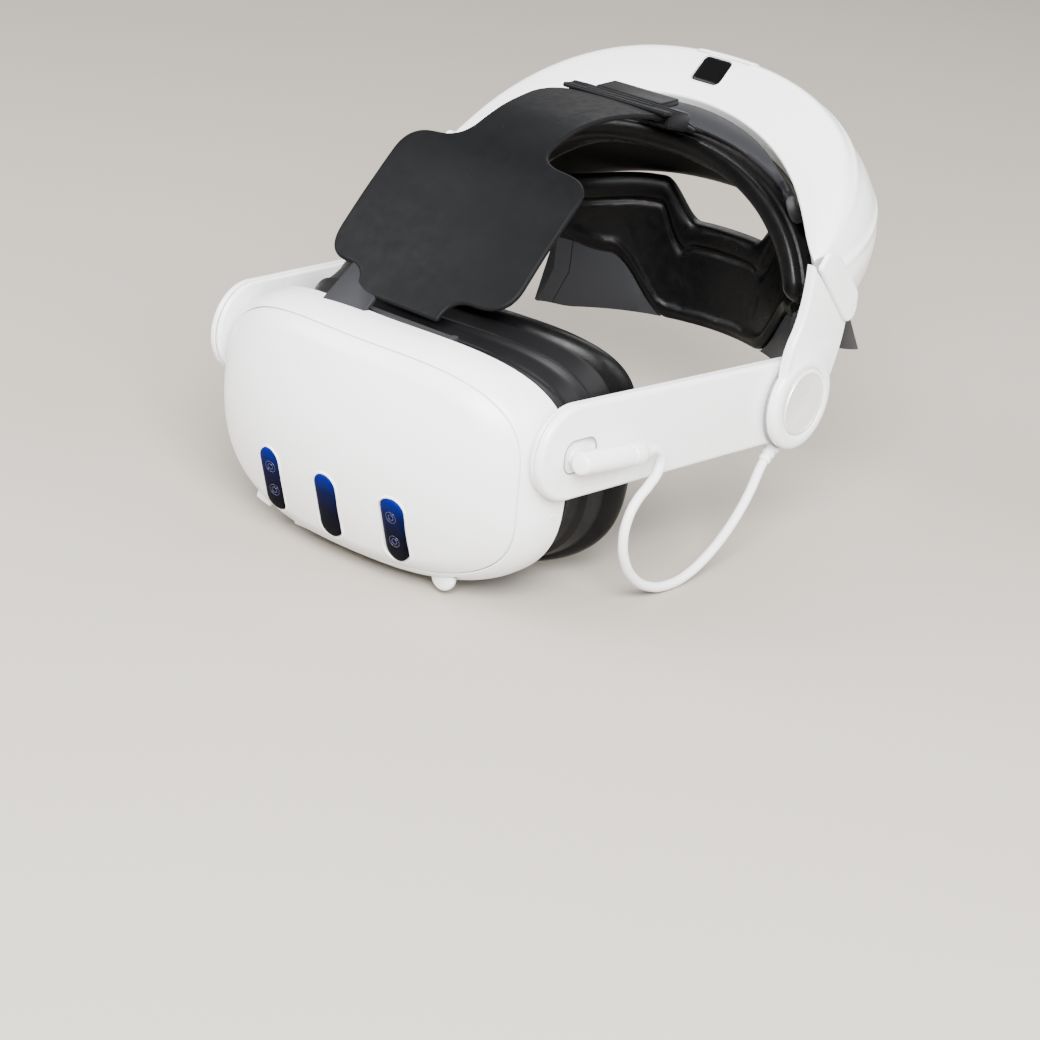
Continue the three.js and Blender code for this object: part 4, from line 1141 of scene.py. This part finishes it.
def halo_corners(share):
    """The corners of the halo's section, from the crescent's inner edge round the outside."""
    middle = math.sin(math.pi * share)
    inner_x, inner_up = crescent_inner(share)
    outer_x, outer_up = crescent_outer(share)
    shoulder = housing_plan(3.4, 0.06, share)
    low = housing_plan(0, 0.12, share)
    foot = housing_plan(4, 0.2, share)
    inner = housing_plan(17, 0.2, share)
    bottom = 36.5 + 17 * middle**1.5
    return [
        on_arch(inner_x, inner_up, ARCH_PLANE),
        on_arch(outer_x, outer_up, ARCH_PLANE),
        Vector((shoulder[0], shoulder[1] * (0.86 + 0.14 * (1 - middle)), 62 + 34 * middle**0.8)),
        Vector((low[0], low[1], 50 + 24 * middle)),
        Vector((foot[0], foot[1], bottom)),
        Vector((inner[0], inner[1], bottom + 1.5)),
    ]


def filleted(corners, radii, bulges):
    """A closed section with rounded corners and gently crowned sides."""
    centre = sum(corners, Vector()) / len(corners)
    count = len(corners)

    def towards(i, j):
        """Where the rounding of corner i meets its side to corner j."""
        side = corners[j] - corners[i]
        return corners[i] + side.normalized() * min(radii[i], 0.46 * side.length)

    points = []
    for i, corner in enumerate(corners):
        following = (i + 1) % count
        start, end = towards(i, i - 1), towards(i, following)
        points += [(quadratic(start, corner, end, t), i, 0.0) for t in spaced(0, 1, 6)]
        points += [(end.lerp(towards(following, i), t), i, t) for t in spaced(0, 1, 6)[1:-1]]
    result = []
    for place, side, t in points:
        a, b = corners[side], corners[(side + 1) % count]
        edge = (b - a).normalized()
        outward = (a + b) / 2 - centre
        outward = (outward - edge * outward.dot(edge)).normalized()
        result.append(place + outward * bulges[side] * math.sin(math.pi * t) if t else place)
    return result


def halo_piece(name):
    rings = []
    for share in spaced(0, 1, 150):
        middle = math.sin(math.pi * share)
        thin = min(1, 0.25 + 3 * middle)
        radii = [1.6 * thin, 4 + 7 * middle, 5 + 14 * middle, 5 + 6 * middle, 5, 3]
        bulges = [1.0 * thin, 1.2 * middle, 0.8, 0.2, 0.2, 0]
        rings.append(filleted(halo_corners(share), radii, bulges))

    def softened(ring, neighbour):
        """Two rings in place of an end one, which round the end's edge."""
        centre = sum(ring, Vector()) / len(ring)
        return [[centre.lerp(p, 0.985) for p in ring],
                [centre.lerp(p, 0.996).lerp(q, 0.35) for p, q in zip(ring, neighbour)]]

    first, last = softened(rings[0], rings[1]), softened(rings[-1], rings[-2])
    return new_object(name, *loft(first + rings[1:-1] + last[::-1]))


def arch_block(low, high):
    """Everything between two heights off the crescent's plane."""
    size = 300
    points = [on_arch(x, up, off) for x in (-size, size) for up in (-size, size) for off in (low, high)]
    return new_object("arch_block", points, BOX_FACES)


def arch_prism(name, loop, profile):
    """A prism in the crescent's plane from a loop of (x, up) and [inset, height] points."""
    rings = [[on_arch(x, up, off) for x, up in inset_loop(loop, inset)] for inset, off in profile]
    return new_object(name, *loft(rings))


def square_loop(grow):
    return [(u, SQUARE_UP + v) for u, v in rounded_rectangle(7.2 + grow, 6.8 + grow, 2.4 + grow)]


def latch_loop(grow):
    return [(u, LATCH_UP + v) for u, v in rounded_rectangle(14.5 + grow, 4.2 + grow, 0.9 + grow, 4)]


def build_halo():
    """One solid cut into the crescent and the battery housing, with the latch tab and its recess, which is
    coloured grey as painted shade in the gap round the tab.
    """
    half_seam = 0.05
    latch_span = [(0, ARCH_PLANE - 8), (0, 60)]
    cover = halo_piece("halo_crescent")
    housing = duplicate(cover, "halo_battery_case")
    tab = duplicate(cover, "latch_tab")
    recess = duplicate(cover, "latch_recess_shade")
    cut(cover,
        arch_block(-200, ARCH_PLANE - COVER_DEPTH + half_seam),
        cushion_piece("cushion_clearance", 0.8),
        arch_prism("square_hole", square_loop(0.35), [(0, 36), (0, 60)]),
        arch_prism("latch_hole", latch_loop(0.6), latch_span))
    cut(housing,
        arch_block(ARCH_PLANE - COVER_DEPTH - half_seam, 200),
        cushion_piece("cushion_clearance", 0.8))
    raised = on_arch(0, 0.45, 0.45)
    moved(tab, Matrix.Translation(raised * MM))
    combine(tab, arch_prism("latch_block", latch_loop(0), latch_span), "INTERSECT")
    bevel(tab, 0.35, 2, 40)
    # The recess under the gap round the latch tab is white plastic; its grey finish is painted shade.
    moved(recess, Matrix.Translation(-1.6 * raised * MM))
    combine(recess, arch_prism("recess_block", latch_loop(0.7), latch_span), "INTERSECT")
    settle(recess, "joint_and_shade_grey", "cradle", slot="white_strap", sharp=38)
    settle(cover, "white_strap", "cradle", "halo_cover", sharp=38)
    skirt = housing_skirt()
    join(housing, skirt, mirrored(skirt, "skirt_right"))
    settle(housing, "white_strap", "battery", "battery_housing", sharp=38)
    build_housing_lining()
    settle(tab, "white_strap", "latch", "battery_latch", sharp=38)
    build_status_button()


def housing_skirt():
    """The thin end of the housing that laps over the side band."""
    loop = [(-5.2, 58.6), (21.6, 31.4), (25.8, 32.4), (27.6, 36), (27, 44), (9, 62), (0, 65)]
    outline = rounded_outline([(y, z, 1.9) for y, z in loop], 120)
    return slab_x("skirt", outline, 100.4, 102.3, 0.2, 1.0)


def build_housing_lining():
    """The black underside of the housing, from its foot up its inner wall to the cover's seam."""
    rings = []
    runs = []
    for share in spaced(0.12, 0.88, 100):
        corners = halo_corners(share)
        foot, inner, rim = corners[4], corners[5], corners[0]
        tuck = 0.85 - 0.65 * smoothstep(min(share, 1 - share), 0.14, 0.26)
        start, end = foot.lerp(inner, tuck), inner.lerp(rim, 0.72)
        turn_in, turn_out = inner.lerp(start, 0.25), inner.lerp(end, 0.1)
        bend = [quadratic(turn_in, inner, turn_out, t) for t in spaced(0, 1, 6)]
        runs.append([start, *bend, *[turn_out.lerp(end, t) for t in spaced(0, 1, 8)[1:]]])
    for i, run in enumerate(runs):
        before, after = runs[max(i - 1, 0)], runs[min(i + 1, len(runs) - 1)]
        over, under = [], []
        for k, place in enumerate(run):
            along_run = run[min(k + 1, len(run) - 1)] - run[max(k - 1, 0)]
            normal = along_run.cross(after[k] - before[k]).normalized()
            over.append(place + normal * 0.45)
            under.append(place - normal * 0.35)
        rings.append(over + under[::-1])
    lining = new_object("housing_lining", *loft(rings))
    settle(lining, "black_plastic", "battery", sharp=40)


def build_status_button():
    top = ARCH_PLANE + 0.9
    profile = [(0, ARCH_PLANE - 6), (0, top - 0.7), (0.15, top - 0.25), (0.6, top), (2, top + 0.06)]
    button = arch_prism("status_key", square_loop(0), profile)
    settle(button, "black_gloss", "status", "status_button", slot="black_plastic", sharp=50)
    line = [on_arch(u, up, ARCH_PLANE + 0.95) for u, up in square_loop(0.65)]
    settle(tube("status_rim", line, 0.38, sides=10, closed=True), "white_strap", "cradle", sharp=0)


# ---------- cushions and frames that follow the head ----------
def on_cushion_arch(angle, grow, across):
    x, rise = superellipse(CUSHION_ARCH_HALF_WIDTH + grow, CUSHION_ARCH_RISE + grow, CUSHION_ARCH_CORNER,
                           angle)
    c, s = math.cos(CUSHION_PLANE), math.sin(CUSHION_PLANE)
    return Vector((x, rise * c - across * s, rise * s + across * c))


def arch_angles(count):
    """Angles at nearly equal steps round the cushion's arch."""
    fine = spaced(CUSHION_START, math.pi - CUSHION_START, 1200)
    run = [Vector(superellipse(CUSHION_ARCH_HALF_WIDTH, CUSHION_ARCH_RISE, CUSHION_ARCH_CORNER, a))
           for a in fine]
    lengths = travelled(run)
    angles, index = [], 0
    for target in spaced(0, lengths[-1], count):
        while index < len(fine) - 2 and lengths[index + 1] < target:
            index += 1
        share = (target - lengths[index]) / (lengths[index + 1] - lengths[index])
        angles.append(fine[index] + (fine[index + 1] - fine[index]) * min(share, 1))
    return angles


def cushion_piece(name, margin, stations=90, creases=()):
    base = [superellipse(5.5 + margin, 10.8 + margin, 2.8, angle) for angle in circle(120)]
    section = creased(base, creases, 40)
    rings = []
    angles = arch_angles(stations)
    for i, angle in enumerate(angles):
        from_end = min(i, stations - 1 - i)
        close = math.sqrt(1 - (1 - min(from_end / 4, 1)) ** 2) if not margin else 1
        close = max(close, 0.28)
        rings.append([on_cushion_arch(angle, grow * close, across * close - 3) for grow, across in section])
    return new_object(name, *loft(rings))


def build_arch_cushion():
    """A leather roll with two lobes and a sharp crease between them."""
    pad = cushion_piece("arch_pad", 0, 110, [(0.152, 2.6, 1.0), (0.62, 0.9, 1.4)])
    puff(pad, 0.3)
    subdivide(pad)
    settle(pad, "black_leather", "cradle", "arch_cushion", sharp=0)


def liner_edges(share):
    """The liner's edge at the cushion and its edge at the crescent."""
    inner_x, inner_up = crescent_inner(share)
    near = on_cushion_arch(spread(CUSHION_START, share), 7.5, 1)
    far = on_arch(inner_x * 0.98, inner_up - 2.4, ARCH_PLANE - 2)
    return near, far


def liner_piece(name, low, high, half, stations):
    edges = [liner_edges(share) for share in spaced(low, high, stations)]
    rings = []
    for i, (near, far) in enumerate(edges):
        before = edges[max(i - 1, 0)][0]
        after = edges[min(i + 1, stations - 1)][0]
        normal = (far - near).cross(after - before).normalized()
        run = []
        for t in spaced(0, 1, 9):
            edge = min(1, 0.45 + 5 * min(t, 1 - t))
            bow = 0.9 * math.sin(math.pi * t)
            run.append((near.lerp(far, t) + normal * bow, edge))
        ring = [p + normal * half * edge for p, edge in run]
        ring += [p - normal * half * edge for p, edge in run[::-1]]
        rings.append(ring)
    return new_object(name, *loft(rings))


def build_liner():
    liner = liner_piece("arch_lining", 0.175, 0.825, 1.1, 110)
    settle(liner, "dark_grey_plastic", "cradle", "arch_liner", sharp=50)
    for side, low, high in (("left", 0.16, 0.205), ("right", 0.795, 0.84)):
        end = liner_piece(f"arch_lining_end_{side}", low, high, 2.2, 14)
        bevel(end, 0.5, 2, 50)
        settle(end, "black_plastic", "cradle", sharp=50)


def nape_point(angle, grow, z):
    return Vector(((HEAD_HALF_WIDTH + grow) * math.sin(angle), (HEAD_REACH + grow) * math.cos(angle), z))


def nape_top(angle):
    size = abs(angle)
    return 34 + 17.8 * smoothstep(size, 0.22, 0.47) - 3 * smoothstep(size, 0.55, 1)


def nape_bottom(angle):
    size = abs(angle)
    return -14 + 27.5 * smoothstep(size, 0.34, 0.74) + 6.5 * smoothstep(size, 0.74, NAPE_END_ANGLE)


def nape_section(angle):
    """The pad's section at an angle: a thick roll along the top edge and a shallow panel below it."""
    step = 0.01
    slope = (nape_top(angle + step) - nape_top(angle - step)) / (2 * step * HEAD_REACH)
    lean = math.hypot(1, slope)
    top, bottom = nape_top(angle), nape_bottom(angle)
    tall = top - bottom
    roll = min(11 * lean, 0.45 * tall)
    foot = min(6, 0.2 * tall)

    def face(z):
        """How far the inner face is set back from the head: less where the pad swells."""
        down = (top - z) / roll
        if down < 1:
            crown = 1 - (2 * down - 1) ** 2 if down > 0 else 0
            return 2.4 - 2.6 * crown**0.6
        valley = 1.1 * bump_at(down, 1.08, 0.14)
        rise = (z - bottom) / foot
        border = 1.2 * bump_at(rise, 0.8, 0.4) if rise < 3 else 0
        return 2.2 + valley - border

    inner = []
    for t in spaced(0.015, 0.985, 46):
        z = top - t * tall
        inner.append((face(z), z))
    outer = [(9.3, bottom + 2.6), (9.5, bottom + 5), (9.5, top - 6), (9.2, top - 3.4), (8.2, top - 1.4)]
    under = [(3.4, bottom + 0.4), (5, bottom), (7, bottom + 0.3), (8.5, bottom + 1.2)]
    crest = [(6.6, top - 0.3), (5, top), (3.4, top - 0.25)]
    return inner + under + outer + crest


def build_nape():
    rings = []
    for angle in spaced(-NAPE_END_ANGLE, NAPE_END_ANGLE, 130):
        close = math.sqrt(max(1 - (max(abs(angle) - NAPE_END_ANGLE + 0.04, 0) / 0.04) ** 2, 0.06))
        rings.append([nape_point(angle, 4.75 + (grow - 4.75) * close, z) for grow, z in nape_section(angle)])
    pad = new_object("nape_cushion", *loft(rings))
    puff(pad, 0.2)
    subdivide(pad)
    settle(pad, "black_leather", "nape", "nape_pad", sharp=0)
    build_nape_plates()


def build_nape_plates():
    """The dark moulded plates under the pad's raised ends, with a curved joint line in each."""
    section = [(4.2, 1), (4, 0.97), (4, 0.5), (4, 0.03), (4.3, 0), (6.8, 0), (7, 0.03), (7, 0.5), (7, 0.97),
               (6.8, 1)]
    for side, sign in (("left", 1), ("right", -1)):
        for part, low, high in (("front", 0.9625, NAPE_END_ANGLE - 0.02), ("rear", 0.385, 0.9575)):
            rings = []
            for angle in spaced(low, high, 30):
                top = nape_bottom(angle) - 0.4
                bottom = -13.5 + 3 * smoothstep(angle, 0.8, NAPE_END_ANGLE)
                ring = []
                for grow, t in section:
                    z = bottom + (top - bottom) * t
                    bend = 0.11 * max(0, 4 - z) ** 1.4 / 60 * smoothstep(angle, 0.4, 0.9)
                    ring.append(nape_point(sign * (angle + bend), grow, z))
                rings.append(ring)
            plate = new_object(f"nape_plate_{part}_{side}", *loft(rings))
            settle(plate, "dark_grey_plastic", "nape", sharp=40)


def nape_wing(side):
    """The plate that flares out from the frame's end, behind the side band."""
    front = Vector((82, 23, 17)), Vector((82, 23, 29))
    rear = Vector((78, 73.7, 3)), Vector((80, 56, 25))
    section = [(-1.2, 0.03), (-0.8, 0), (0.8, 0), (1.2, 0.03), (1.2, 0.97), (0.8, 1), (-0.8, 1), (-1.2, 0.97)]
    rings = []
    for t in spaced(0, 1, 16):
        low, high = [a.lerp(b, t) + Vector((4 * math.sin(math.pi * t), 0, 0)) for a, b in zip(front, rear)]
        ring = []
        for u, v in section:
            point = low.lerp(high, v) + Vector((u, 0, 0))
            ring.append((side * point.x, point.y, point.z))
        rings.append(ring)
    return new_object("wing", *loft(rings))


def build_nape_frame():
    rings = []
    for angle in spaced(-1.3, 1.3, 120):
        size = abs(angle)
        top = 15 + 14 * smoothstep(size, 0.6, 1.25)
        bottom = -10 + 31 * smoothstep(size, 0.5, 1.25)
        bow = 10 * smoothstep(size, 0.2, 0.6) * (1 - smoothstep(size, 0.95, 1.3))
        low, high = 11.6 + bow, 14.6 + bow
        ring = [(low + 0.5, bottom), (high - 0.9, bottom), (high - 0.25, bottom + 0.3), (high, bottom + 1)]
        ring += [(high, bottom + (top - bottom) * t) for t in (0.3, 0.5, 0.7)]
        ring += [(high, top - 1), (high - 0.25, top - 0.3), (high - 0.9, top), (low + 0.5, top)]
        ring.append((low, top - 0.6))
        ring += [(low, bottom + (top - bottom) * t) for t in (0.7, 0.5, 0.3)]
        ring.append((low, bottom + 0.6))
        rings.append([nape_point(angle, grow, z) for grow, z in ring])
    band = new_object("nape_band", *loft(rings))
    join(band, *[block("lug", (16.4, 12, 9), (side * 87.6, 20.5, 26), 1) for side in (1, -1)])
    join(band, *[nape_wing(side) for side in (1, -1)])
    cut(band, turned("bore", "y", [(4.3, 80), (4.3, 100)], (0, 0, 2), 40))
    settle(band, "dark_grey_plastic", "cradle", "nape_frame", sharp=40)
    build_dial()


def build_dial():
    profile = [(0.05, 88.6), (4, 88.6), (4, 93.2), (13.4, 93.4), (15.4, 94.3), (16, 95.6), (16, 98.4),
               (15.4, 99.8), (13.6, 100.9), (12.2, 101.4), (11, 101.3), (10.4, 100.6), (0.05, 100.3)]
    knob = knurled("fit_knob", profile, (0, 0, 2), 30, 0.55, 15, 180)
    settle(knob, "dark_grey_plastic", "dial", "fit_dial", sharp=50)


# ---------- over-head panel ----------
PANEL_PATH = [Vector((0, y, z)) for y, z in (
    (-145.5, 37.2), (-133.7, 50), (-114, 71.5), (-93, 91), (-71, 101.5), (-52, 105.1), (-38, 105.4),
    (-24, 103.7), (-10, 100.4), (2, 96.2), (8, 93.6))]
STRAP_SAG_RADIUS = 350


def rounded_outline(corners, count):
    """Evenly spaced points round a counter-clockwise outline of (x, y, rounding) corners."""
    run = []
    for i, (x, y, reach) in enumerate(corners):
        corner = Vector((x, y, 0))
        before = Vector((*corners[i - 1][:2], 0))
        after = Vector((*corners[(i + 1) % len(corners)][:2], 0))
        start = corner + (before - corner).normalized() * reach
        end = corner + (after - corner).normalized() * reach
        run += [quadratic(start, corner, end, t) for t in spaced(0, 1, 12)]
    points = along([*run, run[0]], count + 1)[0]
    return [(p.x, p.y) for p in points[:-1]]


def panel_outline(length, count):
    """The panel laid flat: a narrow stem, a wide rounded lobe and the strap behind it."""
    right = [(22, 0, 0.8), (22, 10.6, 9.5), (47.4, 11.8, 14), (47.2, 77, 12), (19.6, 78, 11), (20, 108, 12),
             (23.6, 136, 12), (23.6, length, 0.8)]
    return rounded_outline(right + [(-x, y, reach) for x, y, reach in right[::-1]], count)


def build_panel():
    """The flat outline, thickened with a rounded edge and bent along its path over the head."""
    path, length = along(catmull(PANEL_PATH, 40), 400)

    def bent(u, s, height):
        place = min(max(s / length, 0), 1) * (len(path) - 1)
        index = min(int(place), len(path) - 2)
        centre = path[index].lerp(path[index + 1], place - index)
        low, high = max(index - 2, 0), min(index + 3, len(path) - 1)
        tangent = (path[high] - path[low]).normalized()
        lift = height - u * u / (2 * STRAP_SAG_RADIUS)
        return Vector((u, centre.y - tangent.z * lift, centre.z + tangent.y * lift))

    outline = panel_outline(length, 420)
    half = STRAP_THICKNESS / 2
    middle = 48
    rings = []

    def spread_ring(share, inset, height):
        loop = inset_loop(outline, inset)
        rings.append([bent(x * share, middle + (y - middle) * share, height) for x, y in loop])

    shares = spaced(0.02, 0.98, 40)
    for share in shares:
        spread_ring(share, half, 0)
    for angle in spaced(-math.pi / 2, math.pi / 2, 9):
        spread_ring(1, half * (1 - math.cos(angle)), half + half * math.sin(angle))
    for share in shares[::-1]:
        spread_ring(share, half, STRAP_THICKNESS)
    panel = new_object("head_panel", *loft(rings))
    settle(panel, "charcoal_panel", None, "top_panel", sharp=0)
    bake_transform(panel)


def build_bracket():
    y, z = VISOR_Y + 34.9, VISOR_Z + 48.2
    bar = block("strap_bar", (62, 4.2, 2.4), (0, y, z - 1.6), 0.9, 3)
    join(bar, *[block("end", (3, 4.2, 3.2), (side * 29.5, y, z - 1.4), 0.8, 3) for side in (1, -1)])
    settle(bar, "dark_grey_plastic", "visor", "strap_bracket")
    loop = [(-31.5, 30.5), (-9.5, 30.5), (-9.5, 38), (-10.6, 42.6), (-13.6, 45.4), (-18, 46.8),
            (-27.6, 49.2), (-30, 46)]
    rings = []
    for inset, depth in ((0, 0.6), (0, -1.2), (0.35, -1.8), (1.0, -2.1)):
        rings.append([(x, -148.1 + depth + (z - 36) * 1.15, z) for x, z in inset_loop(loop, inset)])
    tab = new_object("strap_tab", *loft(rings))
    bevel(tab, 0.8, 3, 30)
    settle(tab, "satin_grey", "visor", slot="dark_grey_plastic", sharp=50)


def build_buckle():
    """The ladder buckle: a frame round the strap's end, a lifted blade in front and a rib behind it."""
    ladder = block("strap_ladder", (54, 14, 7.4), (0, 0, 0), 1.0, 3)
    cut(ladder, block("slot", (49.4, 40, 4.8), (0, 0, -0.2), 0.4, 2))
    blade = block("blade", (54, 5.2, 2.1), (0, -8.7, 3.3), 0.9, 4)
    moved(blade, Matrix.Rotation(0.16, 4, "X"))
    neck = block("neck", (34, 4, 1.4), (0, -6.6, 3.0), 0.4, 2)
    plate = block("plate", (53, 12.6, 2), (0, 0.4, 3.4), 0.8, 3)
    slab = moved(block("slab", (34, 13.5, 3), (1, 4.4, 4.4), 0.9, 3), Matrix.Rotation(0.3, 4, "X"))
    join(ladder, plate, blade, neck, slab)
    place = Matrix.Translation(Vector((0, BUCKLE_Y, BUCKLE_Z)) * MM)
    moved(ladder, place @ Matrix.Rotation(BUCKLE_TILT, 4, "X"))
    settle(ladder, "black_satin", "cradle", "strap_buckle", slot="dark_grey_plastic")


def build_strap_tongue():
    """The short tongue that ties the buckle down to the arch cushion."""
    route = [(-4, 101.6), (2, 99.8), (8, 97.5), (13, 94.8), (18, 92.1), (23, 90.2)]
    path = catmull([Vector((0, y, z)) for y, z in route], 8)
    loop = rounded_rectangle(17, 0.9, 0.8, 5)
    rings = []
    for i, centre in enumerate(path):
        tangent = (path[min(i + 1, len(path) - 1)] - path[max(i - 1, 0)]).normalized()
        normal = Vector((0, -tangent.z, tangent.y))
        rings.append([centre + Vector((u, 0, 0)) + normal * v for u, v in loop])
    settle(new_object("strap_tongue", *loft(rings)), "black_satin", "cradle", slot="dark_grey_plastic")


build_camera()
build_cords()
build_stage()
finish_cad_nodes()
build_front_plate()
build_windows()
build_shell()
build_controls()
build_optics()
build_face_interface()
build_face_cushion()
build_arms()
build_hinges()
build_halo()
build_arch_cushion()
build_liner()
build_nape()
build_nape_frame()
build_panel()
build_bracket()
build_buckle()
build_strap_tongue()
